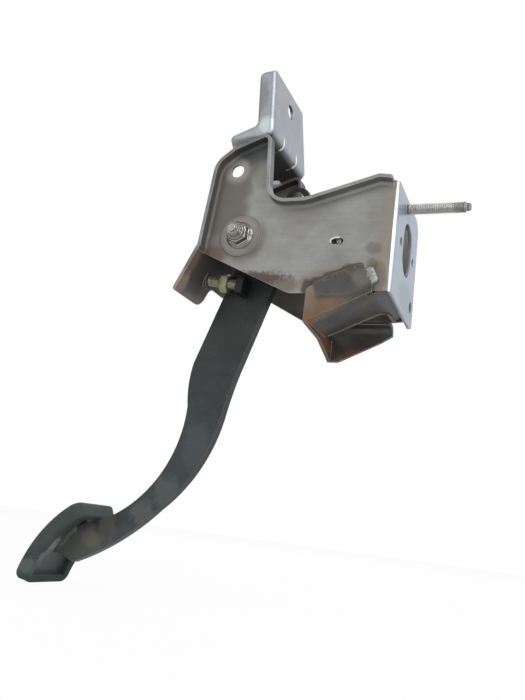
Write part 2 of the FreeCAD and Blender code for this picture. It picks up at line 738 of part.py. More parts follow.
def build_wall_beads():
    """Rounded beads that join the gusset's lap to the near wall, and one that joins the far wall."""
    corner = (-size("lap_right_back"), -size("lap_right_down"))
    lap_left = (-size("gusset_left_back"), -size("lap_left_down"))
    lap_low = (-size("gusset_right_back"), -size("gusset_right_down") + 5)
    for label, start, end, wide in (("gusset_weld", lap_left, corner, size("weld_width")),
                                    ("gusset_weld_end", corner, lap_low, size("weld_width") + 1.5)):
        bead = new_body(label)
        along = (Vector(end[0] - start[0], end[1] - start[1], 0)).normalize()
        first = Vector(start[0], start[1], 0) + along * 3
        last = Vector(end[0], end[1], 0) - along * 1
        across = Vector(-along.y, along.x, 0) * wide
        outline = sketch_on(bead, f"{label}_outline", "XZ_Plane", "Sizes.near_face")
        corners = [first, last, last + across, first + across]
        draw(outline, [(place.x, place.y, wide / 2 - 0.05 if index > 1 else 0)
                       for index, place in enumerate(corners)])
        add_pad(bead, f"{label}_bar", outline, "Sizes.weld_height")
        crest = -size("near_face") - size("weld_height")
        add_fillet(bead, f"{label}_crest", "Sizes.weld_height / 2", lambda edge: lies_at(edge, "y", crest))
    leg = size("weld_leg")
    corner_bead = new_body("far_plate_weld")
    section = sketch_on(corner_bead, "far_plate_weld_section", "XY_Plane", "-Sizes.corner_weld_length / 2")
    inside = -size("sheet_thickness")
    draw(section, [(inside, size("far_face"), 0), (inside - leg, size("far_face"), 0),
                   (inside, size("far_face") - leg, 0)])
    add_pad(corner_bead, "far_plate_weld_bar", section, "Sizes.corner_weld_length")


def build_flange_stud():
    """Threaded stud with a turned-down point and a clinched head inside the flange."""
    radius = size("stud_diameter") / 2
    point = size("stud_point_diameter") / 2
    length = size("stud_length")
    tip = length - size("stud_point_length")
    inside = -size("sheet_thickness")
    back = inside - size("stud_head_height")
    neck = radius - size("stud_neck_depth")
    neck_end = size("stud_neck_length")
    body = turned("flange_stud", "XY_Plane", "H_Axis", [
        (back, 0, 0), (length, 0, 0), (length, point - 0.6, 0), (length - 0.6, point, 0),
        (tip, point, 0), (tip - 1.2, radius, 0), (neck_end, radius, 0), (neck_end, neck, 0),
        (0, neck, 0), (0, radius, 0), (inside, radius, 0),
        (inside, size("stud_head_diameter") / 2, 0), (back, size("stud_head_diameter") / 2, 0),
    ])
    body.setExpression("Placement.Base.y", "-Sizes.stud_near")
    body.setExpression("Placement.Base.z", "Sizes.stud_up")


def on_stop_axis(body):
    """Place a piece made about the X axis on the stop screw's axis."""
    body.Placement = Placement(stop_point(), Rotation(Vector(0, 1, 0), size("stop_tilt")))


def build_stop_screw():
    """Pedal-height screw through the tab's collar, and its lock nut."""
    radius = size("screw_diameter") / 2
    reach = size("screw_reach")
    seat = -size("collar_back")
    bolt = turned("stop_bolt", "XY_Plane", "H_Axis", [
        (seat - 1, 0, 0), (reach, 0, 0), (reach, radius - 1, 0), (reach - 1, radius, 0),
        (seat - 1, radius, 0),
    ])
    outline = draw(sketch_on(bolt, "stop_head_outline", "YZ_Plane", "-Sizes.collar_back"),
                   hexagon(size("screw_head_across"), 30))
    add_pad(bolt, "stop_head", outline, "Sizes.screw_head_height", True)
    on_stop_axis(bolt)
    nut = new_body("stop_lock_nut")
    flats = draw(sketch_on(nut, "stop_nut_outline", "YZ_Plane", "Sizes.lock_nut_start"),
                 hexagon(size("screw_head_across"), 30))
    add_pad(nut, "stop_nut_hexagon", flats, "Sizes.lock_nut_height")
    bore = add_circle(sketch_on(nut, "stop_nut_bore", "YZ_Plane", "Sizes.lock_nut_start"), "0", "0",
                      "Sizes.screw_diameter")
    add_pocket(nut, "stop_nut_bore_cut", bore, "Sizes.lock_nut_height", True)
    on_stop_axis(nut)


def build_stop_lug():
    """Block welded to the arm's near face, which the stop screw's end meets at rest."""
    body = new_body("stop_lug")
    outline = sketch_on(body, "stop_lug_outline", "YZ_Plane", "Sizes.screw_reach + Sizes.stop_gap")
    half = size("lug_height") / 2
    arm_side = size("stop_near") - size("arm_near")
    draw(outline, [(-size("lug_out"), -half, 3), (arm_side, -half, 0), (arm_side, half, 0),
                   (-size("lug_out"), half, 3)])
    add_pad(body, "stop_lug_block", outline, "Sizes.lug_thickness")
    on_stop_axis(body)


def tube_radius():
    """Outer radius of the pivot tube, from the sleeve outwards."""
    return (size("sleeve_diameter") / 2 + size("bush_running_clearance") + size("bush_wall")
            + size("tube_wall"))


def build_pivot():
    """Bolt, nut, spacer sleeve, tube and bushes that carry the arm."""
    bolt = size("bolt_diameter") / 2
    near = -size("near_face") - size("boss_rise")
    far = size("far_face") + size("sheet_thickness")
    collar = size("bolt_flange_diameter") / 2
    rise = size("bolt_flange_height")
    end = -size("near_face") - size("bolt_end_out")
    pivot_bolt = turned("pivot_bolt", "XY_Plane", "V_Axis", [
        (0, end, 0), (bolt - 2, end, 0), (bolt - 2, end + 2, 0), (bolt - 0.8, end + 2, 0),
        (bolt, end + 3, 0), (bolt, far, 0), (collar, far, 0), (collar - 0.6, far + rise, 0),
        (bolt, far + rise + 1, 0), (0, far + rise + 1, 0),
    ])
    head = draw(sketch_on(pivot_bolt, "pivot_head_outline", "XZ_Plane",
                          "-Sizes.far_face - Sizes.sheet_thickness - Sizes.bolt_flange_height"),
                hexagon(size("bolt_head_across")))
    add_pad(pivot_bolt, "pivot_head", head, "Sizes.bolt_head_height", True)
    at_pivot(pivot_bolt)
    nut = turned("pivot_nut", "XY_Plane", "V_Axis", [
        (bolt, near, 0), (bolt, near - rise - 1, 0), (collar - 2, near - rise - 1, 0),
        (collar, near - rise, 0), (collar, near, 0),
    ])
    outline = draw(sketch_on(nut, "pivot_nut_outline", "XZ_Plane",
                             "Sizes.near_face + Sizes.boss_rise + 1"),
                   hexagon(size("bolt_head_across")))
    add_pad(nut, "pivot_nut_hexagon", outline, "Sizes.pivot_nut_height - 1")
    bore = add_circle(sketch_on(nut, "pivot_nut_bore", "XZ_Plane", "Sizes.near_face + Sizes.boss_rise"),
                      "0", "0", "Sizes.bolt_diameter")
    add_pocket(nut, "pivot_nut_bore_cut", bore, "Sizes.pivot_nut_height", True)
    at_pivot(nut)
    inside = -size("near_face") + size("sheet_thickness")
    across = size("far_face")
    sleeve = size("sleeve_diameter") / 2
    at_pivot(turned("pivot_sleeve", "XY_Plane", "V_Axis", [
        (bolt + size("bolt_hole_clearance"), inside, 0), (sleeve, inside, 0), (sleeve, across, 0),
        (bolt + size("bolt_hole_clearance"), across, 0),
    ]))
    bush = sleeve + size("bush_running_clearance")
    bore_radius = bush + size("bush_wall")
    outer = tube_radius()
    flange = size("bush_flange_height")
    play = size("side_play")
    length = size("bush_length")
    for label, face, sense in (("near_bush", inside + play, 1), ("far_bush", across - play, -1)):
        at_pivot(turned(label, "XY_Plane", "V_Axis", [
            (bush, face, 0), (outer, face, 0), (outer, face + sense * flange, 0),
            (bore_radius, face + sense * flange, 0), (bore_radius, face + sense * length, 0),
            (bush, face + sense * length, 0),
        ]))
    low = inside + play + flange
    high = across - play - flange
    at_pivot(turned("pivot_tube", "XY_Plane", "V_Axis", [
        (bore_radius, low, 0), (outer, low, 0), (outer, high, 0), (bore_radius, high, 0),
    ]))
    leg = size("weld_leg")
    arm_low = -size("arm_near")
    arm_high = arm_low + size("arm_thickness")
    for label, face, sense in (("near_tube_weld", arm_low, -1), ("far_tube_weld", arm_high, 1)):
        at_pivot(turned(label, "XY_Plane", "V_Axis", [
            (outer, face, 0), (outer + leg, face, 0), (outer, face + sense * leg, 0),
        ]))


def pad_frame():
    """Centre of the pad's curve and the unit vectors along the pad and out of its face."""
    angle = math.radians(size("pad_angle"))
    along = Vector(math.cos(angle), 0, math.sin(angle))
    outward = Vector(-math.sin(angle), 0, math.cos(angle))
    apex = Vector(-size("pad_centre_back"), 0, -size("pad_centre_down"))
    return apex - outward * size("pad_radius"), along, outward


def on_pad(radius, run):
    """Point of the pad's section at a radius from its curve's centre and a run along that arc."""
    centre, along, outward = pad_frame()
    turn = run / radius
    place = centre + along * radius * math.sin(turn) + outward * radius * math.cos(turn)
    return Vector(place.x, place.z, 0)


def arc_band(inner, outer, half):
    """Closed outline between two arcs of the pad's curve, shifted to its low end, with square ends."""
    low = -half - size("pad_low_shift")
    high = half - size("pad_low_shift")
    corners = [on_pad(outer, low), on_pad(outer, high), on_pad(inner, high * inner / outer),
               on_pad(inner, low * inner / outer)]
    return [Part.Arc(corners[0], on_pad(outer, 0), corners[1]),
            Part.LineSegment(corners[1], corners[2]),
            Part.Arc(corners[2], on_pad(inner, 0), corners[3]),
            Part.LineSegment(corners[3], corners[0])]


def bowed(start, end, bow):
    """Arc between two points whose middle stands off the chord, to its left where bow is above 0."""
    along = (end - start).normalize()
    return Part.Arc(start, (start + end) / 2 + Vector(-along.y, along.x, 0) * bow, end)


def build_arm():
    """Flat curved bar from the pivot to the pad, with a short upper lever for the cable."""
    body = new_body("pedal_arm")
    pivot = Vector(-size("pivot_back"), 0, 0)
    back = size("pad_radius") - size("pad_skin") - size("pad_plate_thickness")
    half = size("arm_end_width") / 2
    end_top = on_pad(back, half)
    end_mid = on_pad(back, 0)
    end_low = on_pad(back, -half)

    def at(reach, drop):
        """A point of the arm's outline, measured back from and below the pivot."""
        return Vector(pivot.x - reach, -drop, 0)

    shoulder = at(size("shoulder_back"), size("shoulder_drop"))
    knee = shoulder - Vector(0, size("knee_below_shoulder"), 0)
    shin = at(size("shin_back"), size("shin_drop"))
    calf = shin - Vector(size("calf_behind_shin"), size("calf_below_shin"), 0)
    instep = shin + Vector(size("instep_before_shin"), size("instep_above_shin"), 0)
    thigh = knee + Vector(size("thigh_before_knee"), -size("thigh_below_knee"), 0)
    low, high = arm_front()
    hip = pivot + low
    lever = at(-size("lever_forward"), -size("lever_up"))
    lever_front = pivot + high
    lever_back = lever + Vector(-size("lever_round"), 2, 0)
    boss_top = at(0, -size("boss_radius") + 1)
    start = at(size("boss_radius") - 6, 10)
    outline = sketch_on(body, "arm_outline", "XZ_Plane", "Sizes.arm_near")
    outline.addGeometry([
        Part.LineSegment(start, shoulder),
        bowed(shoulder, knee, -size("shoulder_bow")),
        bowed(knee, shin, size("knee_bow")),
        Part.LineSegment(shin, end_top),
        Part.Arc(end_top, end_mid, end_low),
        Part.LineSegment(end_low, calf),
        bowed(calf, instep, -size("calf_bow")),
        bowed(instep, thigh, -size("instep_bow")),
        bowed(thigh, hip, size("thigh_bow")),
        Part.LineSegment(hip, lever_front),
        Part.Arc(lever_front, lever + Vector(2, size("lever_round"), 0), lever_back),
        Part.LineSegment(lever_back, boss_top),
        Part.LineSegment(boss_top, start),
    ], False)
    add_pad(body, "arm_bar", outline, "Sizes.arm_thickness", True)
    disc = sketch_on(body, "arm_boss", "XZ_Plane", "Sizes.arm_near")
    add_circle(disc, "-Sizes.pivot_back", "0", "2 * Sizes.boss_radius")
    add_pad(body, "arm_boss_disc", disc, "Sizes.arm_thickness", True)
    bores = sketch_on(body, "arm_bores", "XZ_Plane", "Sizes.arm_near")
    add_circle(bores, "-Sizes.pivot_back", "0", f"{2 * tube_radius()}")
    add_circle(bores, "Sizes.lever_forward - Sizes.pivot_back", "Sizes.lever_up",
               "Sizes.cable_pin_diameter")
    add_pocket(body, "arm_bores_cut", bores, "Sizes.arm_thickness")


def build_cable_pin():
    """Headed pin riveted in the upper lever, on which the cable's eye sits."""
    radius = size("cable_pin_diameter") / 2
    head = size("cable_pin_head") / 2
    near = -size("arm_near")
    far = near + size("arm_thickness")
    end = far + size("cable_pin_length")
    rise = size("cable_pin_head_height")
    shoulder = size("cable_pin_shoulder")
    body = turned("cable_pin", "XY_Plane", "V_Axis", [
        (0, near - rise, 0), (head - 1, near - rise, 0), (head, near, 0), (radius, near, 0),
        (radius, far, 0), (head, far, 0), (head, far + shoulder, 0), (radius, far + shoulder, 0),
        (radius, end - 1, 0), (radius - 1, end, 0), (0, end, 0),
    ])
    body.setExpression("Placement.Base.x", "Sizes.lever_forward - Sizes.pivot_back")
    body.setExpression("Placement.Base.z", "Sizes.lever_up")


def build_pad():
    """Curved steel plate on the arm's end, its weld, and the rubber cover that wraps it."""
    face = size("pad_radius")
    plate_front = face - size("pad_skin")
    plate_back = plate_front - size("pad_plate_thickness")
    rear = face - size("pad_depth")
    half = size("pad_length") / 2
    plate_half = half - size("pad_rim")
    mouth_half = plate_half - size("pad_lip")
    plate = new_body("pad_plate")
    section = sketch_on(plate, "plate_section", "XZ_Plane",
                        "Sizes.pad_centre_near + Sizes.pad_width / 2 - Sizes.pad_rim")
    section.addGeometry(arc_band(plate_back, plate_front, plate_half), False)
    add_pad(plate, "plate_bar", section, "Sizes.pad_width - 2 * Sizes.pad_rim", True)
    add_fillet(plate, "plate_corners", "Sizes.pad_corner - Sizes.pad_rim", across_pad)
    form = doc.addObject("PartDesign::Body", "pad_rubber_form")
    block = sketch_on(form, "rubber_section", "XZ_Plane", "Sizes.pad_centre_near + Sizes.pad_width / 2")
    block.addGeometry(arc_band(rear, face, half), False)
    add_pad(form, "rubber_block", block, "Sizes.pad_width", True)
    add_fillet(form, "rubber_corners", "Sizes.pad_corner", across_pad)
    grooves = sketch_on(form, "grip_grooves", "XZ_Plane",
                        "Sizes.pad_centre_near + Sizes.pad_width / 2 - Sizes.pad_rim")
    pitch = size("pad_groove_pitch")
    rows = int((half - size("pad_corner")) / pitch)
    wide = size("pad_groove_width") / 2
    floor = face - size("pad_groove_depth")
    for row in range(-rows, rows + 1):
        run = row * pitch - size("pad_low_shift")
        corners = [on_pad(face + 1, run - wide), on_pad(face + 1, run + wide),
                   on_pad(floor, run + wide * 0.7), on_pad(floor, run - wide * 0.7)]
        draw(grooves, [(corner.x, corner.y, 0) for corner in corners])
    add_pocket(form, "grip_grooves_cut", grooves, "Sizes.pad_width - 2 * Sizes.pad_rim")
    mouth = sketch_on(form, "rubber_mouth", "XZ_Plane",
                      "Sizes.pad_centre_near + Sizes.pad_width / 2 - Sizes.pad_rim - Sizes.pad_lip")
    mouth.addGeometry(arc_band(rear - 1, plate_back + 0.5, mouth_half), False)
    add_pocket(form, "rubber_mouth_cut", mouth, "Sizes.pad_width - 2 * (Sizes.pad_rim + Sizes.pad_lip)")
    rubber = keep("pad_rubber", doc.addObject("Part::Cut", "pad_rubber"))
    rubber.Base = form
    rubber.Tool = plate
    doc.recompute()
    leg = size("weld_leg") + 1
    arm_low = -size("arm_near")
    arm_high = arm_low + size("arm_thickness")
    centre, _, _ = pad_frame()
    sweep = math.degrees(size("arm_end_width") / plate_back)
    for label, side, sense in (("near_pad_weld", arm_low, -1), ("far_pad_weld", arm_high, 1)):
        bead = new_body(label)
        section = draw(sketch_on(bead, f"{label}_section", "XY_Plane"),
                       [(plate_back, side, 0), (plate_back - leg, side, 0),
                        (plate_back, side + sense * leg, 0)])
        solid = bead.newObject("PartDesign::Revolution", f"{label}_sweep")
        solid.Profile = section
        solid.ReferenceAxis = (section, ["V_Axis"])
        solid.Angle = sweep
        solid.Midplane = True
        bead.Placement = Placement(centre, Rotation(Vector(0, 1, 0), -90 - size("pad_angle")))
        doc.recompute()


def across_pad(edge):
    """Whether an edge is one of the four that run through the pad from face to back."""
    ends = [vertex.Point for vertex in edge.Vertexes]
    if len(ends) != 2:
        return False
    _, _, outward = pad_frame()
    along = (ends[1] - ends[0]).normalize()
    return abs(along.y) < 0.001 and abs(along.dot(outward)) > 0.85


def build_return_spring():
    """Torsion spring round the far half of the tube, with one leg on the arm and one on the wall."""
    wire = size("wire_diameter") / 2
    mean = spring_radius()
    height = size("spring_turns") * size("spring_pitch")
    bend = size("spring_bend")
    hook = spring_hook_point()
    reach = math.sqrt(hook.x ** 2 + hook.y ** 2 - mean ** 2)
    coil = Part.makeHelix(size("spring_pitch"), height, mean)
    half_bend = bend * (1 - math.sqrt(0.5))
    near_end = -size("spring_start") - size("arm_near") + 1
    first = Vector(mean, -reach, near_end)
    crook = Vector(mean, -reach, -bend)
    path = [Part.LineSegment(first, crook).toShape(),
            Part.Arc(crook, Vector(mean, -reach + half_bend, -half_bend),
                     Vector(mean, bend - reach, 0)).toShape(),
            Part.LineSegment(Vector(mean, bend - reach, 0), Vector(mean, 0, 0)).toShape()]
    path += coil.Edges
    around = 2 * math.pi * size("spring_turns")
    out = Vector(math.cos(around), math.sin(around), 0)
    ahead = Vector(-math.sin(around), math.cos(around), 0)
    up = Vector(0, 0, 1)
    leave = out * mean + up * height
    turn = leave + ahead * (size("spring_tail") - bend)
    tail = leave + ahead * size("spring_tail") + up * bend
    last = Vector(tail.x, tail.y, size("far_face") - size("spring_start") + size("sheet_thickness") + 1)
    path += [Part.LineSegment(leave, turn).toShape(),
             Part.Arc(turn, turn + ahead * (bend - half_bend) + up * half_bend, tail).toShape(),
             Part.LineSegment(tail, last).toShape()]
    ring = Part.Wire(Part.Circle(first, up, wire).toShape())
    spring = keep("return_spring", doc.addObject("Part::Feature", "return_spring"))
    spring.Shape = Part.Wire(path).makePipeShell([ring], True, True)
    spring.Placement = Placement(Vector(-size("pivot_back"), size("spring_start"), 0), spring_turn())


def spring_radius():
    """Mean radius of the spring's coils."""
    return tube_radius() + size("spring_clearance") + size("wire_diameter") / 2


def arm_front():
    """Two points on the arm's front edge, below and above the pivot, measured from it."""
    low = Vector(size("hip_before_shoulder") - size("shoulder_back"),
                 size("hip_above_shoulder") - size("shoulder_drop"), 0)
    high = Vector(size("lever_forward") + size("lever_round"), size("lever_up") - 2, 0)
    return low, high


def spring_hook_point():
    """Centre of the spring's hook in front of the arm's front edge, measured from the pivot."""
    low, high = arm_front()
    along = (high - low).normalize()
    edge = low + along * ((-size("hook_drop") - low.y) / along.y)
    return edge + Vector(along.y, -along.x, 0) * (size("wire_diameter") / 2 + size("stop_gap"))


def spring_turn():
    """Turn that brings the spring's axis along Y and its first leg to the hook's place."""
    hook = spring_hook_point()
    reach = math.sqrt(hook.x ** 2 + hook.y ** 2 - spring_radius() ** 2)
    lean = math.degrees(math.atan2(reach, spring_radius()) - math.atan2(hook.y, hook.x))
    return Rotation(Vector(0, 1, 0), lean).multiply(Rotation(Vector(1, 0, 0), -90))


def spring_tail_place():
    """Where the spring's tail passes through the far wall, in the part's frame."""
    around = 2 * math.pi * size("spring_turns")
    mean = spring_radius()
    tail = Vector(mean * math.cos(around) - size("spring_tail") * math.sin(around),
                  mean * math.sin(around) + size("spring_tail") * math.cos(around), 0)
    return spring_turn().multVec(tail) + Vector(-size("pivot_back"), 0, 0)


build_side_plate()
build_far_plate()
build_top_bracket()
build_bracket_welds()
build_lower_gusset()
build_wall_beads()
build_flange_stud()
build_stop_screw()
build_stop_lug()
build_pivot()
build_arm()
build_cable_pin()
build_pad()
build_return_spring()
doc.recompute()

os.makedirs("parts", exist_ok=True)
for label, item in PARTS.items():
    faulty = [state for state in item.State if state in ("Invalid", "Error")]
    if faulty or item.Shape.isNull() or not item.Shape.isValid():
        raise ValueError(f"{label} failed: {item.State}")
for member in doc.Objects:
    if "Invalid" in member.State or "Error" in member.State:
        raise ValueError(f"{member.Name} failed: {member.State}")
for label, item in PARTS.items():
    item.Shape.exportStep(f"parts/{label}.step")
    print(label, len(item.Shape.Solids), round(item.Shape.Volume))
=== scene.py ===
"""Looks of a clutch pedal in its welded mounting bracket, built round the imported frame.

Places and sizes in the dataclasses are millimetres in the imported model's own frame, and every mesh
is put into the scene in metres in that frame. +X points to the engine, +Y to the far wall, +Z up.
"""

import logging
import math
from dataclasses import dataclass, replace
from enum import Enum

import bpy
import numpy as np
from mathutils import Matrix, Vector


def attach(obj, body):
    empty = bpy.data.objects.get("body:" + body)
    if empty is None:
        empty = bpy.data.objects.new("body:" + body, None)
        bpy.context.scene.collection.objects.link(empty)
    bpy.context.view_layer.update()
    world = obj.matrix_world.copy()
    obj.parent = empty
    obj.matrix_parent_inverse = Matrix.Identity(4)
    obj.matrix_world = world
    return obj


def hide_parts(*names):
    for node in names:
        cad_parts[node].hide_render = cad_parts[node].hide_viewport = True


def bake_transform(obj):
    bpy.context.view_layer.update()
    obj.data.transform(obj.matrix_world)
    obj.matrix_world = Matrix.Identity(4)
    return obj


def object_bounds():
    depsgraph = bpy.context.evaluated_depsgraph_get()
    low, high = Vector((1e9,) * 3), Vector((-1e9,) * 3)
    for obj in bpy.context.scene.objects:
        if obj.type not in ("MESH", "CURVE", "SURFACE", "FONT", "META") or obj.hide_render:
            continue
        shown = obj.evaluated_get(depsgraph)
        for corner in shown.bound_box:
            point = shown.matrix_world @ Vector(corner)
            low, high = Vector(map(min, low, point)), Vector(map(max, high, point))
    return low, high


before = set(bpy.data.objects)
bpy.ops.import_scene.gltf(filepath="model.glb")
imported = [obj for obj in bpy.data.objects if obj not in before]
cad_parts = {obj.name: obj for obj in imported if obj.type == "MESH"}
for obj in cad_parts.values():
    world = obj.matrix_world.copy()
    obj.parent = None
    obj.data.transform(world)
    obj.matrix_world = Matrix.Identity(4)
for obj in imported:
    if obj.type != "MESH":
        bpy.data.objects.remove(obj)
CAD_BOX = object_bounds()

LOG = logging.getLogger("clutch_pedal")
MM = 0.001
TURN = 2 * math.pi
Triple = tuple[float, float, float]

# Sizes that more than one sub-assembly uses: the top bracket's foot and the pad's curve
FOOT_CORNER = (-98.7, 80.5)
FOOT_SLOPE = 21.0
PAD_APEX = (-250.2, -228.5)
PAD_ANGLE = 52.3
PAD_RADIUS = 100.0

# Forms of threads and nuts, and the turn past which an edge is drawn sharp
THREAD_DEPTH = 0.58
THREAD_SWING = 0.72
ROWS_PER_PITCH = 9
CONE_START = 0.96
CONE_SLOPE = 1.73
BORE_CHAMFER = 0.5
SHARP_TURN = math.radians(38)


class Body(Enum):
    """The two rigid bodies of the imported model."""

    BRACKET = "bracket"
    PEDAL = "pedal"


class Slot(Enum):
    """The record's material slots."""

    RAW_STEEL = "raw_steel"
    WELD = "weld_metal"
    ZINC = "zinc_steel"
    YELLOW_ZINC = "yellow_zinc"
    SPRING = "spring_steel"
    BUSH = "bush_plastic"
    PAINT = "arm_paint"
    RUBBER = "pad_rubber"


# Colours and node trees


def linear(colour: Triple) -> tuple[float, float, float, float]:
    """Turn a display colour of 0 to 255 into the renderer's linear colour.

    Args:
        colour: Red, green and blue from 0 to 255.

    Returns:
        The linear colour with an alpha of 1.
    """
    parts = np.asarray(colour, float) / 255
    low = parts / 12.92
    high = ((parts + 0.055) / 1.055) ** 2.4
    red, green, blue = np.where(parts <= 0.04045, low, high)
    return (float(red), float(green), float(blue), 1.0)


class Web:
    """A node tree being built, with a short call for each kind of node that is used here."""

    def __init__(self, tree: bpy.types.NodeTree) -> None:
        """Keep the tree that nodes go into."""
        self.tree = tree

    @classmethod
    def on(cls, owner: bpy.types.ID) -> "Web":
        """Turn on the nodes of a material or a world and clear them.

        Args:
            owner: The material or world.

        Returns:
            A web on its empty tree.
        """
        owner.use_nodes = True
        owner.node_tree.nodes.clear()
        return cls(owner.node_tree)

    def link(self, source: bpy.types.NodeSocket, target: bpy.types.NodeSocket) -> None:
        """Link one socket to another."""
        self.tree.links.new(source, target)

    def add(self, kind: str, values: dict | None = None, **settings: object) -> bpy.types.Node:
        """Add a node, set its properties, and link or set its inputs.

        Args:
            kind: The node type's name without its ShaderNode prefix.
            values: Input name or number to a socket to link from, or to a value.
            **settings: Properties of the node.

        Returns:
            The new node.
        """
        node = self.tree.nodes.new("ShaderNode" + kind)
        for name, value in settings.items():
            setattr(node, name, value)
        for name, value in (values or {}).items():
            if isinstance(value, bpy.types.NodeSocket):
                self.link(value, node.inputs[name])
            else:
                node.inputs[name].default_value = value
        return node

    def math(self, operation: str, first: object, second: object = 0.0, clamp: bool = False) -> object:
        """Return the socket of a Math node on one or two numbers."""
        return self.add("Math", {0: first, 1: second}, operation=operation, use_clamp=clamp).outputs[0]

    def vector(self, operation: str, first: object, second: object) -> bpy.types.Node:
        """Return a Vector Math node on two vectors."""
        return self.add("VectorMath", {0: first, 1: second}, operation=operation)

    def mix(self, factor: object, first: object, second: object) -> object:
        """Return the socket of a colour mixed from two by a factor."""
        values = {0: factor, 6: first, 7: second}
        return self.add("Mix", values, data_type="RGBA").outputs[2]

    def blend(self, factor: object, first: object, second: object) -> object:
        """Return the socket of a number mixed from two by a factor."""
        return self.add("Mix", {0: factor, 2: first, 3: second}).outputs[0]

    def fade(self, value: object, low: float, high: float, to_low: float = 0.0,
             to_high: float = 1.0) -> object:
        """Return the socket of a smooth step between two levels of a value."""
        values = {0: value, 1: low, 2: high, 3: to_low, 4: to_high}
        return self.add("MapRange", values, interpolation_type="SMOOTHSTEP").outputs[0]

    def noise(self, vector: object, scale: object, detail: float = 4.0, rough: float = 0.55) -> object:
        """Return the socket of a noise pattern of 0 to 1."""
        values = {"Vector": vector, "Scale": scale, "Detail": detail, "Roughness": rough}
        return self.add("TexNoise", values).outputs[0]

    def distance(self, place: object, centre: object, reach: object) -> object:
        """Work out a place's distance from a centre, as a share of a reach on each axis.

        Args:
            place: The place's socket.
            centre: The centre's socket.
            reach: The socket of the reach on each axis.

        Returns:
            The socket of the distance.
        """
        offset = self.vector("SUBTRACT", place, centre).outputs[0]
        share = self.vector("DIVIDE", offset, reach).outputs[0]
        return self.add("VectorMath", {0: share}, operation="LENGTH").outputs["Value"]


def new_group(name: str, inputs: dict, outputs: dict) -> tuple[Web, object, object]:
    """Make an empty shader node group.

    Args:
        name: The group's name.
        inputs: Input name to its socket type and default value.
        outputs: Output name to its socket type.

    Returns:
        A web on its tree, the sockets that it is given, and the sockets that it puts out.
    """
    tree = bpy.data.node_groups.new(name, "ShaderNodeTree")
    for label, (kind, value) in inputs.items():
        socket = tree.interface.new_socket(label, in_out="INPUT", socket_type="NodeSocket" + kind)
        socket.default_value = value
    for label, kind in outputs.items():
        tree.interface.new_socket(label, in_out="OUTPUT", socket_type="NodeSocket" + kind)
    given, out = tree.nodes.new("NodeGroupInput"), tree.nodes.new("NodeGroupOutput")
    return Web(tree), given.outputs, out.inputs


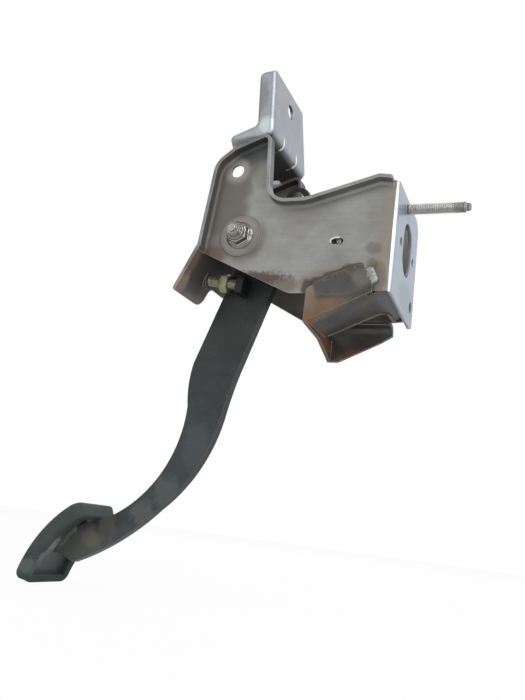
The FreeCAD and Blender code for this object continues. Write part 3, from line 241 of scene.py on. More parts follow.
class Effects:
    """The shader node groups that more than one finish uses, each built once."""

    def __init__(self) -> None:
        """Build the groups."""
        self.grain = self._grain()
        self.edge = self._edge()
        self.colour_patch = self._colour_patch()
        self.specks = self._specks()
        self.heat = self._heat()

    def _grain(self) -> bpy.types.NodeTree:
        """Build blotches, fine grain and rolled streaks, as a tone and a height.

        Returns:
            The node group.
        """
        web, given, out = new_group(
            "metal_grain",
            {"Vector": ("Vector", (0, 0, 0)), "Blotch": ("Float", 40.0), "Fine": ("Float", 700.0),
             "Streak": ("Vector", (30, 30, 600)), "Streak Share": ("Float", 0.3)},
            {"Tone": "Float", "Height": "Float"})
        blotch = web.noise(given["Vector"], given["Blotch"], 6, 0.6)
        fine = web.noise(given["Vector"], given["Fine"], 3, 0.6)
        drawn = web.vector("MULTIPLY", given["Vector"], given["Streak"]).outputs[0]
        streak = web.noise(drawn, 1.0, 3, 0.6)
        tone = web.blend(given["Streak Share"], web.blend(0.35, blotch, fine), streak)
        web.link(web.fade(tone, 0.3, 0.7), out["Tone"])
        web.link(web.blend(0.5, fine, streak), out["Height"])
        return web.tree

    def _edge(self) -> bpy.types.NodeTree:
        """Build a mask of broken wear and painted glint on sharp edges, and a normal that rounds them.

        Returns:
            The node group.
        """
        web, given, out = new_group(
            "edge_wear_and_glint",
            {"Vector": ("Vector", (0, 0, 0)), "Radius": ("Float", 0.0006), "Break": ("Float", 260.0)},
            {"Mask": "Float", "Normal": "Vector"})
        bevel = web.add("Bevel", {"Radius": given["Radius"]}, samples=4).outputs[0]
        flat = web.add("NewGeometry").outputs["Normal"]
        match = web.vector("DOT_PRODUCT", bevel, flat).outputs["Value"]
        broken = web.fade(web.noise(given["Vector"], given["Break"], 3), 0.3, 0.6, 0.4, 1.6)
        level = web.math("MULTIPLY", web.math("SUBTRACT", 1.0, match), broken)
        web.link(web.fade(level, 0.01, 0.12), out["Mask"])
        web.link(bevel, out["Normal"])
        return web.tree

    def _colour_patch(self) -> bpy.types.NodeTree:
        """Build a ragged patch: full within its reach from a centre and gone past it.

        Returns:
            The node group.
        """
        web, given, out = new_group(
            "ragged_colour_patch",
            {"Vector": ("Vector", (0, 0, 0)), "Centre": ("Vector", (0, 0, 0)),
             "Reach": ("Vector", (0.01, 0.01, 0.01)), "Ragged": ("Float", 0.5), "Scale": ("Float", 160.0)},
            {"Mask": "Float"})
        far = web.distance(given["Vector"], given["Centre"], given["Reach"])
        rough = web.math("SUBTRACT", web.noise(given["Vector"], given["Scale"], 5, 0.65), 0.5)
        edge = web.math("ADD", far, web.math("MULTIPLY", rough, given["Ragged"]))
        web.link(web.fade(edge, 0.5, 1.0, 1.0, 0.0), out["Mask"])
        return web.tree

    def _specks(self) -> bpy.types.NodeTree:
        """Build scattered small spots of dust or rust, thinned out by a slow pattern.

        Returns:
            The node group.
        """
        web, given, out = new_group(
            "small_specks",
            {"Vector": ("Vector", (0, 0, 0)), "Scale": ("Float", 900.0), "Amount": ("Float", 0.3)},
            {"Mask": "Float"})
        cells = web.add("TexVoronoi", {"Vector": given["Vector"], "Scale": given["Scale"],
                                       "Randomness": 1.0})
        near = web.fade(cells.outputs["Distance"], 0.12, 0.34, 1.0, 0.0)
        cloud = web.noise(given["Vector"], 90.0, 4, 0.6)
        chance = web.add("SeparateColor", {0: cells.outputs["Color"]}).outputs[0]
        thin = web.math("GREATER_THAN", chance, web.math("SUBTRACT", 1.0, given["Amount"]))
        kept = web.math("MULTIPLY", near, thin)
        web.link(web.math("MULTIPLY", kept, web.fade(cloud, 0.4, 0.62)), out["Mask"])
        return web.tree

    def _heat(self) -> bpy.types.NodeTree:
        """Build the colours that welding heat leaves round a seam, from grey to blue, violet and straw.

        Returns:
            The node group.
        """
        web, given, out = new_group(
            "heat_rings",
            {"Vector": ("Vector", (0, 0, 0)), "Centre": ("Vector", (0, 0, 0)),
             "Reach": ("Vector", (0.02, 0.02, 0.02))},
            {"Mask": "Float", "Color": "Color"})
        far = web.distance(given["Vector"], given["Centre"], given["Reach"])
        wave = web.math("SUBTRACT", web.noise(given["Vector"], 120.0, 4), 0.5)
        level = web.math("ADD", far, web.math("MULTIPLY", wave, 0.45))
        ramp = web.add("ValToRGB", {0: level})
        stops = ((0.0, (72, 68, 63)), (0.35, (66, 68, 73)), (0.52, (82, 72, 78)), (0.68, (100, 82, 66)),
                 (0.85, (126, 114, 94)), (1.0, (128, 126, 119)))
        elements = ramp.color_ramp.elements
        elements.remove(elements[1])
        elements[0].color = linear(stops[0][1])
        for place, colour in stops[1:]:
            elements.new(place).color = linear(colour)
        web.link(ramp.outputs[0], out["Color"])
        web.link(web.fade(level, 0.75, 1.05, 1.0, 0.0), out["Mask"])
        return web.tree


@dataclass(frozen=True)
class ColourPatch:
    """A ragged patch of another colour, for real stains and for painted light and shade: its centre and reach
    in millimetres.
    """

    centre: Triple
    reach: Triple
    colour: Triple
    strength: float = 0.8
    rough: float = 0.6
    ragged: float = 0.5
    scale: float = 160.0


@dataclass(frozen=True)
class Heat:
    """Rings of welding heat about a place: centre and reach in millimetres."""

    centre: Triple
    reach: Triple
    strength: float = 0.8


@dataclass(frozen=True)
class Facing:
    """A colour that shows on the faces turned to one direction; used here as painted light and shade on the
    faces that the lamps reach and miss.
    """

    direction: Triple
    colour: Triple
    strength: float = 0.6
    low: float = 0.3
    high: float = 0.9


@dataclass(frozen=True)
class Finish:
    """A surface: base tones, grain, wear and painted glint on edges, dirt, and patches laid over them in
    order, some of them painted light and shade.
    """

    name: str
    pale: Triple
    deep: Triple
    metallic: float = 0.0
    rough_low: float = 0.4
    rough_high: float = 0.6
    specular: float = 0.5
    blotch: float = 40.0
    fine: float = 700.0
    streak: Triple = (30.0, 30.0, 30.0)
    streak_share: float = 0.2
    bump: float = 0.15
    bump_depth: float = 0.0002
    edge_glint_colour: Triple = (190, 190, 190)
    edge_glint_strength: float = 0.5
    edge_radius: float = 0.6
    speck_colour: Triple = (90, 62, 44)
    speck_scale: float = 900.0
    speck_amount: float = 0.0
    speck_strength: float = 0.7
    patches: tuple = ()

    def material(self, effects: Effects) -> bpy.types.Material:
        """Build the material from the shared effects.

        Args:
            effects: The node groups.

        Returns:
            The new material.
        """
        material = bpy.data.materials.new(self.name)
        web = Web.on(material)
        coordinates = web.add("TexCoord")
        place = coordinates.outputs["Object"]
        grain = web.add("Group", {"Vector": place, "Blotch": self.blotch, "Fine": self.fine,
                                  "Streak": self.streak, "Streak Share": self.streak_share},
                        node_tree=effects.grain)
        colour = web.mix(grain.outputs["Tone"], linear(self.deep), linear(self.pale))
        rough = web.fade(grain.outputs["Height"], 0.2, 0.8, self.rough_high, self.rough_low)
        metal = self.metallic
        for patch in self.patches:
            mask, tint = self._patch(web, effects, patch, coordinates)
            colour = web.mix(mask, colour, tint)
            if isinstance(patch, ColourPatch):
                rough = web.blend(mask, rough, patch.rough)
                if self.metallic > 0:
                    metal = web.blend(mask, metal, self.metallic * (1 - patch.rough))
        if self.speck_amount > 0:
            specks = web.add("Group", {"Vector": place, "Scale": self.speck_scale,
                                       "Amount": self.speck_amount}, node_tree=effects.specks)
            level = web.math("MULTIPLY", specks.outputs["Mask"], self.speck_strength)
            colour = web.mix(level, colour, linear(self.speck_colour))
        # Sharp edges take a lighter colour: partly wear, partly painted glint.
        edge = web.add("Group", {"Vector": place, "Radius": self.edge_radius * MM}, node_tree=effects.edge)
        worn_and_glinting = web.math("MULTIPLY", edge.outputs["Mask"], self.edge_glint_strength)
        colour = web.mix(worn_and_glinting, colour, linear(self.edge_glint_colour))
        bump = web.add("Bump", {"Strength": self.bump, "Distance": self.bump_depth,
                                "Height": grain.outputs["Height"], "Normal": edge.outputs["Normal"]})
        surface = web.add("BsdfPrincipled", {"Base Color": colour, "Roughness": rough, "Metallic": metal,
                                             "Specular IOR Level": self.specular,
                                             "Normal": bump.outputs[0]})
        output = web.add("OutputMaterial", {"Surface": surface.outputs[0]})
        output.is_active_output = True
        return material

    @staticmethod
    def _patch(web: Web, effects: Effects, patch: object, coordinates: bpy.types.Node) -> tuple:
        """Build one patch.

        Args:
            web: The material's tree.
            effects: The node groups.
            patch: A Stain, Heat or Facing.
            coordinates: The material's Texture Coordinate node.

        Returns:
            The mask's socket, and the patch's colour or its socket.
        """
        if isinstance(patch, Facing):
            lean = web.vector("DOT_PRODUCT", coordinates.outputs["Normal"], patch.direction).outputs["Value"]
            level = web.fade(lean, patch.low, patch.high)
            return web.math("MULTIPLY", level, patch.strength), linear(patch.colour)
        values = {"Vector": coordinates.outputs["Object"],
                  "Centre": [value * MM for value in patch.centre],
                  "Reach": [value * MM for value in patch.reach]}
        if isinstance(patch, Heat):
            rings = web.add("Group", values, node_tree=effects.heat)
            return web.math("MULTIPLY", rings.outputs["Mask"], patch.strength), rings.outputs["Color"]
        values |= {"Ragged": patch.ragged, "Scale": patch.scale}
        spot = web.add("Group", values, node_tree=effects.colour_patch)
        return web.math("MULTIPLY", spot.outputs["Mask"], patch.strength), linear(patch.colour)


# Finishes of this pedal

STEEL = Finish(
    "pressed_steel", pale=(138, 139, 137), deep=(116, 115, 111), metallic=0.7, rough_low=0.38,
    rough_high=0.56, blotch=42, fine=1300, streak=(60, 60, 420), streak_share=0.08, bump=0.1,
    edge_glint_colour=(190, 198, 204), edge_glint_strength=0.7, speck_colour=(92, 76, 62), speck_amount=0.25,
    speck_scale=800, speck_strength=0.5)

NEAR_WALL = replace(STEEL, name="near_wall_steel", patches=(
    # Painted light and shade: faces turned up lighter and bluish, faces turned to +X a darker bluish grey
    # sheen, faces turned to -X darker.
    Facing((0, 0, 1), (120, 134, 144), 0.8),
    Facing((1, 0, 0), (104, 112, 118), 0.7),
    Facing((-1, 0, 0), (80, 86, 90), 0.7),
    # Darker, browner patches over the upper left of the wall.
    ColourPatch((-133, -40, 30), (26, 12, 50), (90, 86, 81), 0.9, 0.5, 0.7, 60),
    ColourPatch((-135, -40, 62), (34, 12, 30), (92, 86, 78), 0.75, 0.5, 0.7, 60),
    # Painted shade: a dark patch just under the crown at the notch.
    ColourPatch((-112, -40, 72), (26, 12, 19), (60, 63, 65), 0.9, 0.5, 0.5, 70),
    ColourPatch((-104, -40, 48), (10, 6, 14), (104, 104, 92), 0.5, 0.5, 0.6, 90),
    ColourPatch((-70, -40, 18), (34, 6, 9), (122, 122, 118), 0.6, 0.5, 0.6, 70),
    # Painted shade: a darker ring round the boss, showing most at its lower right.
    ColourPatch((-114, -41, -3), (23, 5, 23), (84, 74, 64), 0.65, 0.6, 0.4, 120),
    ColourPatch((-116, -41.2, 0), (19, 4, 19), (136, 132, 126), 0.95, 0.5, 0.1, 120),
    ColourPatch((-126, -40, 53.6), (13, 3, 13), (136, 134, 130), 0.85, 0.45, 0.2, 120),
    ColourPatch((-140, -41, -16), (16, 12, 12), (104, 82, 66), 0.8, 0.7, 0.8, 200),
    ColourPatch((-95, -40, -38), (42, 12, 10), (104, 92, 78), 0.75, 0.65, 0.9, 220),
    ColourPatch((-104, -40, -33), (34, 6, 7), (74, 60, 48), 0.8, 0.75, 1.5, 420),
    ColourPatch((-14, -40, -12), (8, 3, 6), (100, 90, 80), 0.6, 0.6, 0.9, 240),
    ColourPatch((-6, -42, 0), (5, 6, 62), (132, 120, 102), 0.55, 0.45, 0.5, 90),
    Heat((-38, -40, -36), (32, 8, 13), 0.45),
    ColourPatch((-60, -40, -41), (5, 4, 9), (52, 44, 38), 0.8, 0.6, 0.6, 200),
    ColourPatch((-52, -40, -36), (9, 4, 4.4), (58, 48, 40), 0.8, 0.6, 0.5, 200),
    ColourPatch((-41, -40, -31.5), (9, 4, 4.4), (66, 54, 45), 0.8, 0.6, 0.5, 200),
    ColourPatch((-29, -40, -26.5), (9, 4, 4.4), (74, 62, 50), 0.75, 0.6, 0.5, 200),
    ColourPatch((-14, -40, -25), (5, 4, 8), (84, 74, 62), 0.7, 0.5, 0.5, 200),
    Heat((-12, -40, -34), (11, 8, 16), 0.55),
    # Painted shade: the rear tab darkened across its whole depth.
    ColourPatch((-150, -14, -20), (18, 48, 34), (68, 62, 58), 0.92, 0.6, 0.4, 120),
    ColourPatch((-147, 0, -20), (12, 26, 20), (60, 56, 53), 0.8, 0.55, 0.7, 120),
    ColourPatch((-150, -46, -22), (12, 7, 14), (112, 94, 80), 0.8, 0.65, 0.8, 160),
    ColourPatch((-158, -46, -38), (10, 10, 12), (146, 130, 114), 0.8, 0.65, 0.7, 160),
    ColourPatch((-161, -24, -46), (9, 30, 7), (132, 118, 104), 0.8, 0.65, 0.8, 160),
    ColourPatch((-150, -44, -34), (8, 6, 7), (150, 124, 104), 0.6, 0.65, 0.9, 200),
    # Painted sheen: a bluish grey over the flange's face; painted highlight: a near-white line along its
    # bend.
    ColourPatch((1, -5, -5), (3.2, 120, 120), (160, 172, 187), 0.9, 0.34, 0.1, 90),
    ColourPatch((-0.9, -39.3, -4), (1.9, 1.9, 60), (236, 246, 255), 0.95, 0.26, 0.05, 90),
    ColourPatch((0, 10, -34), (3, 34, 16), (134, 142, 150), 0.5, 0.4, 0.9, 90),
))
FAR_WALL = replace(STEEL, name="far_wall_steel", pale=(96, 96, 93), deep=(66, 65, 62), patches=(
    # Painted light: faces turned up lighter and bluish, and faces turned to -Y lightened against their shade.
    Facing((0, 0, 1), (124, 134, 142), 0.6),
    Facing((0, -1, 0), (150, 142, 134), 0.7),
    Heat((-30, 30, -40), (40, 12, 22), 0.3),
    ColourPatch((-116, 32, 0), (24, 6, 24), (92, 76, 60), 0.6, 0.6, 0.4, 120),
    ColourPatch((-90, 28, -44), (50, 10, 12), (70, 60, 50), 0.7, 0.65, 0.8, 160),
))
TOP_STEEL = Finish(
    "bracket_steel", pale=(162, 167, 174), deep=(142, 147, 154), metallic=0.75, rough_low=0.32,
    rough_high=0.48, blotch=34, fine=1200, streak=(300, 640, 26), streak_share=0.3, bump=0.08,
    edge_glint_colour=(214, 220, 226), edge_glint_strength=0.7, speck_colour=(92, 88, 84), speck_amount=0.2,
    speck_strength=0.5, patches=(
        # Painted shade: faces turned to -Y and -X darker, undersides much darker.
        Facing((0, -1, 0), (134, 138, 140), 0.6, 0.5, 0.95),
        Facing((-1, 0, 0), (120, 122, 124), 0.7, 0.3, 0.9),
        Facing((0, 0, -1), (62, 60, 59), 0.85, 0.2, 0.8),
        ColourPatch((-112, -46, 112), (8, 6, 22), (112, 110, 106), 0.6, 0.55, 1.0, 260),
        # Painted shade: a dark band on the foot's near face under the notch.
        ColourPatch((-116, -46, 74), (22, 6, 7), (84, 80, 76), 0.8, 0.55, 0.7, 160),
        ColourPatch((-104, -46, 88), (9, 6, 9), (196, 202, 208), 0.5, 0.32, 0.3, 120),
        # Painted highlights: near-white lines on the two darts over the bend.
        ColourPatch((-99, -21, 85), (6, 1.1, 8), (232, 238, 242), 0.95, 0.3, 0.1, 120),
        ColourPatch((-99, 8, 85), (6, 1.1, 8), (232, 238, 242), 0.95, 0.3, 0.1, 120),
    ))
GUSSET_STEEL = Finish(
    "gusset_steel", pale=(74, 71, 66), deep=(54, 52, 50), metallic=0.5, rough_low=0.36,
    rough_high=0.58, blotch=60, fine=1100, streak=(60, 60, 60), streak_share=0.1, bump=0.18,
    edge_glint_colour=(176, 170, 160), edge_glint_strength=0.75, edge_radius=0.8, speck_colour=(116, 82, 56),
    speck_amount=0.3, speck_strength=0.5, patches=(
        Heat((-40, -42, -38), (26, 6, 10), 0.2),
        ColourPatch((-44, -42, -55), (12, 5, 8), (122, 90, 64), 0.55, 0.5, 0.8, 120),
        ColourPatch((-57, -42, -46), (5, 5, 12), (128, 124, 108), 0.6, 0.5, 0.7, 200),
        ColourPatch((-20, -43, -34), (9, 5, 9), (92, 92, 84), 0.7, 0.4, 0.7, 160),
        ColourPatch((-34, -42, -40), (14, 4, 6), (60, 58, 56), 0.6, 0.4, 0.8, 160),
        ColourPatch((-56, -43, -54), (8, 5, 16), (116, 96, 78), 0.7, 0.6, 0.8, 200),
        ColourPatch((-54, -38, -66), (16, 12, 9), (122, 80, 52), 0.85, 0.7, 0.8, 200),
        ColourPatch((-60, 0, -70), (8, 40, 14), (118, 84, 62), 0.75, 0.65, 0.8, 200),
        ColourPatch((-36, -42, -52), (14, 5, 5), (110, 84, 60), 0.5, 0.55, 0.9, 160),
        Heat((-18, -14, -44), (14, 18, 12), 0.3),
        ColourPatch((-30, -20, -52), (26, 16, 8), (52, 55, 56), 0.75, 0.4, 0.8, 90),
        ColourPatch((-40, -36, -58), (22, 6, 6), (96, 92, 82), 0.45, 0.5, 1.0, 160),
        ColourPatch((-8, -5, -42), (12, 40, 10), (64, 74, 78), 0.65, 0.42, 0.6, 90),
        ColourPatch((-26, 16, -72), (26, 16, 14), (50, 45, 43), 0.85, 0.5, 0.5, 90),
        ColourPatch((-34, 18, -74), (16, 12, 8), (102, 64, 44), 0.6, 0.7, 0.9, 160),
        ColourPatch((-12, 20, -58), (8, 10, 12), (58, 72, 76), 0.7, 0.4, 0.5, 90),
        ColourPatch((-48, 12, -80), (10, 16, 8), (120, 84, 60), 0.75, 0.7, 0.7, 160),
    ))
# The rolled lip is lighter than the gusset: a painted highlight along it.
LIP_GLINT_STEEL = replace(GUSSET_STEEL, name="rolled_lip_painted_glint", pale=(104, 102, 96), deep=(70, 68, 64), patches=())
BEAD = Finish(
    "weld_bead", pale=(98, 88, 74), deep=(62, 54, 46), metallic=0.55, rough_low=0.32,
    rough_high=0.52, blotch=70, fine=1200, bump=0.12, edge_glint_strength=0.0,
    speck_colour=(46, 38, 32), speck_amount=0.16)
SILVER_BEAD = replace(BEAD, name="bright_weld_bead", pale=(160, 162, 157), deep=(118, 114, 106),
                      metallic=0.4, rough_low=0.34, rough_high=0.46, bump=0.04, speck_amount=0.04)
# Near white: painted highlight for the lance's crescent and the darts' ridges.
GLINT_LIP = replace(SILVER_BEAD, name="painted_glint_lip", pale=(244, 244, 240), deep=(206, 206, 202),
                     metallic=0.2)
ARM_BEAD = replace(BEAD, name="painted_weld_bead", pale=(92, 96, 94), deep=(52, 56, 55), metallic=0.0,
                   rough_low=0.4, rough_high=0.6, specular=0.3, speck_colour=(140, 132, 108),
                   speck_amount=0.5, speck_scale=500)
ZINC = Finish(
    "bright_zinc", pale=(134, 134, 127), deep=(104, 102, 94), metallic=0.95, rough_low=0.2,
    rough_high=0.34, blotch=90, fine=1400, bump=0.04, edge_glint_colour=(244, 244, 240),
    edge_glint_strength=0.9, edge_radius=0.35, speck_colour=(84, 72, 54), speck_amount=0.12,
    speck_scale=1400, speck_strength=0.6)
STUD_STEEL = replace(ZINC, name="stud_steel", pale=(200, 198, 198), deep=(150, 147, 146), metallic=0.85,
                     rough_low=0.34, rough_high=0.5, patches=(
                         ColourPatch((39, -10, 29.5), (9, 8, 8), (78, 76, 76), 0.85, 0.55, 0.5, 300),
                         ColourPatch((0, -10, 29.5), (3, 8, 8), (74, 70, 66), 0.75, 0.6, 0.5, 300)))
YELLOW_ZINC = replace(ZINC, name="yellow_zinc", pale=(166, 168, 140), deep=(112, 114, 94), metallic=0.6,
                      rough_low=0.32, rough_high=0.48, edge_glint_colour=(200, 198, 164))
SLEEVE_STEEL = replace(ZINC, name="sleeve_steel", pale=(120, 118, 112), deep=(86, 82, 76))
SPRING_STEEL = Finish(
    "spring_wire", pale=(78, 78, 80), deep=(48, 48, 50), metallic=0.85, rough_low=0.3, rough_high=0.45,
    blotch=200, fine=1500, bump=0.08, edge_glint_strength=0.0, speck_colour=(110, 76, 50), speck_amount=0.2)
BUSH = Finish(
    "bush_plastic", pale=(206, 200, 182), deep=(176, 168, 148), rough_low=0.42,
    rough_high=0.55, blotch=80, fine=900, bump=0.1, edge_glint_colour=(220, 214, 200), edge_glint_strength=0.3,
    speck_colour=(60, 56, 50), speck_amount=0.3)
PAINT = Finish(
    "black_arm_paint", pale=(44, 48, 48), deep=(33, 37, 37), rough_low=0.36,
    rough_high=0.54, specular=0.28, blotch=26, fine=1300, streak=(22, 22, 200), streak_share=0.12,
    bump=0.1, edge_glint_colour=(100, 108, 108), edge_glint_strength=0.8, edge_radius=0.9,
    speck_colour=(112, 116, 112), speck_scale=760, speck_amount=0.12, speck_strength=0.4, patches=(
        # Painted shade: the arm's faces turned to +X darkened against the key lamp.
        Facing((1, 0, 0.1), (33, 36, 36), 0.8, 0.4, 0.8),
        ColourPatch((-72, -8, -60), (40, 6, 46), (30, 34, 34), 0.85, 0.45, 0.6, 60),
        ColourPatch((-162, -8, -176), (56, 6, 76), (56, 63, 65), 0.75, 0.6, 0.9, 60),
        ColourPatch((-146, -8, -156), (13, 4, 24), (68, 76, 78), 0.7, 0.6, 1.2, 90),
        ColourPatch((-164, -8, -190), (13, 4, 16), (86, 92, 90), 0.6, 0.7, 1.4, 130),
        ColourPatch((-180, -8, -208), (13, 4, 12), (92, 96, 92), 0.6, 0.7, 1.5, 150),
        ColourPatch((-190, -8, -228), (20, 4, 14), (62, 71, 76), 0.7, 0.55, 0.8, 60),
        ColourPatch((-210, -8, -228), (12, 4, 20), (88, 88, 78), 0.55, 0.8, 1.1, 110),
        # Partly dust, partly painted light: the arm's end by the pad lightened against the pad cup's shade.
        ColourPatch((-232, -8, -240), (34, 5, 26), (94, 97, 92), 0.7, 0.7, 1.0, 70),
        ColourPatch((-222, -8, -232), (10, 4, 8), (112, 108, 94), 0.5, 0.8, 1.5, 160),
        ColourPatch((-190, -8, -240), (5, 4, 4), (110, 116, 112), 0.6, 0.7, 1.6, 500),
    ))
# The lug's black paint made darker than the arm's, with little edge glint: painted shade.
SHADED_LUG_PAINT = replace(PAINT, name="lug_paint_and_painted_shade", pale=(28, 31, 31), deep=(20, 22, 22), edge_glint_strength=0.15,
                    patches=())
# Painted light: the plate's black paint lightened against the pad cup's shade; the pale patches are scuffs.
LIGHTENED_PLATE_PAINT = replace(PAINT, name="pad_plate_paint_and_painted_light", pale=(84, 90, 90), deep=(58, 64, 64), patches=(
    ColourPatch((-240, -24, -246), (26, 20, 20), (128, 136, 134), 0.75, 0.75, 0.9, 160),
    ColourPatch((-236, -16, -240), (22, 14, 9), (160, 160, 146), 0.6, 0.75, 1.4, 240),
    ColourPatch((-222, -8, -216), (10, 10, 10), (112, 112, 102), 0.6, 0.75, 0.9, 200),))
RUBBER = Finish(
    "dusty_rubber", pale=(67, 75, 73), deep=(46, 53, 52), rough_low=0.6,
    rough_high=0.82, specular=0.25, blotch=44, fine=1300, bump=0.3, bump_depth=0.0003,
    edge_glint_colour=(104, 110, 108), edge_glint_strength=0.6, edge_radius=1.2, speck_colour=(126, 126, 116),
    speck_scale=1100, speck_amount=0.35, speck_strength=0.4, patches=(
        Facing((0.3, 0, 0.95), (84, 89, 87), 0.6, 0.5, 0.95),
        ColourPatch((-214, -30, -200), (12, 8, 9), (106, 103, 90), 0.7, 0.85, 0.9, 300),
        ColourPatch((-236, -30, -206), (14, 10, 10), (88, 95, 94), 0.6, 0.75, 0.9, 120),
        ColourPatch((-256, -30, -256), (24, 14, 7), (98, 104, 102), 0.6, 0.85, 1.2, 260),
        ColourPatch((-250, -26, -248), (18, 8, 5), (134, 138, 134), 0.6, 0.85, 1.5, 420),
    ))


# Meshes worked out as grids


@dataclass(frozen=True)
class Skin:
    """A grid of points, rows by columns by 3, in millimetres, that becomes a closed surface."""

    points: np.ndarray
    loop: bool = False

    def parts(self) -> tuple[np.ndarray, list[list[int]]]:
        """Work out the vertices and faces.

        The columns always close on themselves. The rows close too where loop is set, and otherwise the
        first and last row are closed by fans to their middles. If the closed volume comes out below
        zero, every face is turned round.

        Returns:
            The vertices in millimetres and the faces as lists of vertex numbers.
        """
        rows, columns = self.points.shape[:2]
        numbers = np.arange(rows * columns).reshape(rows, columns)
        beside = np.roll(numbers, -1, axis=1)
        vertices = self.points.reshape(-1, 3)
        if self.loop:
            after, after_beside = np.roll(numbers, -1, axis=0), np.roll(beside, -1, axis=0)
            quads = np.stack([numbers, beside, after_beside, after], axis=2).reshape(-1, 4)
            fans = np.zeros((0, 3), int)
        else:
            quads = np.stack([numbers[:-1], beside[:-1], beside[1:], numbers[1:]], axis=2).reshape(-1, 4)
            low = np.full(columns, rows * columns)
            fans = np.concatenate([np.stack([low, beside[0], numbers[0]], axis=1),
                                   np.stack([low + 1, numbers[-1], beside[-1]], axis=1)])
            vertices = np.concatenate([vertices, self.points[[0, -1]].mean(axis=1)])
        corners = np.concatenate([quads[:, [0, 1, 2]], quads[:, [0, 2, 3]], fans])
        volume = np.einsum("ij,ij->i", vertices[corners[:, 0]],
                           np.cross(vertices[corners[:, 1]], vertices[corners[:, 2]])).sum()
        if volume < 0:
            quads, fans = quads[:, ::-1], fans[:, ::-1]
        return vertices, quads.tolist() + fans.tolist()


def unit(rows: np.ndarray) -> np.ndarray:
    """Return each row as a direction of length 1."""
    return rows / np.linalg.norm(rows, axis=1, keepdims=True)


def square_to(rows: np.ndarray, ahead: np.ndarray) -> np.ndarray:
    """Return the direction of each row's part that is square to the direction ahead."""
    return unit(rows - ahead * np.sum(rows * ahead, axis=1, keepdims=True))


def tilted(degrees: float) -> tuple[np.ndarray, np.ndarray]:
    """Work out two directions in the pedal's plane of motion.

    Args:
        degrees: Turn from +X towards +Z.

    Returns:
        The direction at that turn, and the one a quarter turn further on.
    """
    turn = math.radians(degrees)
    along = np.array([math.cos(turn), 0, math.sin(turn)])
    return along, np.array([-along[2], 0, along[0]])


def in_plane(point: tuple, across: float = 0.0) -> np.ndarray:
    """Return the place of an (x, z) point at a distance across, along Y."""
    return np.array([point[0], across, point[1]])


@dataclass(frozen=True)
class Spindle:
    """An axis that turned and threaded pieces stand on: its start and direction, and a side of it."""

    start: Triple
    along: Triple
    side: Triple

    def place(self, radius: np.ndarray, angle: np.ndarray, run: np.ndarray) -> np.ndarray:
        """Turn radius, angle and run into points.

        The point is start + along x run + radius x (side x cos angle + (along x side) x sin angle).

        Args:
            radius: Distance from the axis.
            angle: Turn about the axis, in radians.
            run: Distance along the axis.

        Returns:
            Points with a last axis of 3.
        """
        along = unit(np.asarray([self.along], float))
        side = square_to(np.asarray([self.side], float), along)
        other = np.cross(along, side)
        radius, angle, run = (grid[..., None] for grid in np.broadcast_arrays(radius, angle, run))
        return (np.asarray(self.start, float) + run * along + radius * np.cos(angle) * side
                + radius * np.sin(angle) * other)


def angles(count: int) -> np.ndarray:
    """Return evenly spaced angles of one turn as a row."""
    return np.linspace(0, TURN, count, endpoint=False)[None, :]


def hexagon_reach(angle: np.ndarray, across: float) -> np.ndarray:
    """Return a hexagon's radius at each angle: half its width over the cosine of the turn off a flat."""
    off = (angle + TURN / 12) % (TURN / 6) - TURN / 12
    return across / 2 / np.cos(off)


def thread_cut(angle: np.ndarray, run: np.ndarray, pitch: float, ends: tuple) -> np.ndarray:
    """Work out how far a screw thread dips below its rod.

    The dip is THREAD_DEPTH x pitch x a clipped cosine of (run / pitch - turn), and it fades in over
    one pitch at both ends of the threaded stretch.

    Args:
        angle: Turn about the axis.
        run: Distance along the axis.
        pitch: Distance from crest to crest.
        ends: Where the thread starts and stops along the axis.

    Returns:
        The change of the radius at each angle and run, 0 or below.
    """
    wave = np.clip(0.5 - THREAD_SWING * np.cos(TURN * (run / pitch) - angle), 0, 1)
    fade = np.clip((run - ends[0]) / pitch, 0, 1) * np.clip((ends[1] - run) / pitch, 0, 1)
    return -THREAD_DEPTH * pitch * wave * fade


def stretch(runs: np.ndarray, radius: float) -> np.ndarray:
    """Return a stretch of a profile with one radius, as rows of (run, radius)."""
    return np.column_stack([runs, np.full(runs.size, radius)])


def threaded_skin(spindle: Spindle, profile: list, pitch: float, ends: tuple, columns: int = 36) -> Skin:
    """Turn a profile about a spindle and cut a thread into it.

    Args:
        spindle: Its axis.
        profile: Stretches of (run, radius) rows.
        pitch: The thread's distance from crest to crest.
        ends: Where the thread starts and stops along the axis.
        columns: Points round the axis.

    Returns:
        The closed surface.
    """
    run, radius = np.concatenate(profile).T[:, :, None]
    turn = angles(columns)
    return Skin(spindle.place(radius + thread_cut(turn, run, pitch, ends), turn, run))


def turned_skin(spindle: Spindle, profile: list[tuple[float, float]], columns: int = 48,
                loop: bool = False) -> Skin:
    """Turn a profile of (run, radius) about a spindle."""
    run, radius = np.asarray(profile, float).T
    return Skin(spindle.place(radius[:, None], angles(columns), run[:, None]), loop)


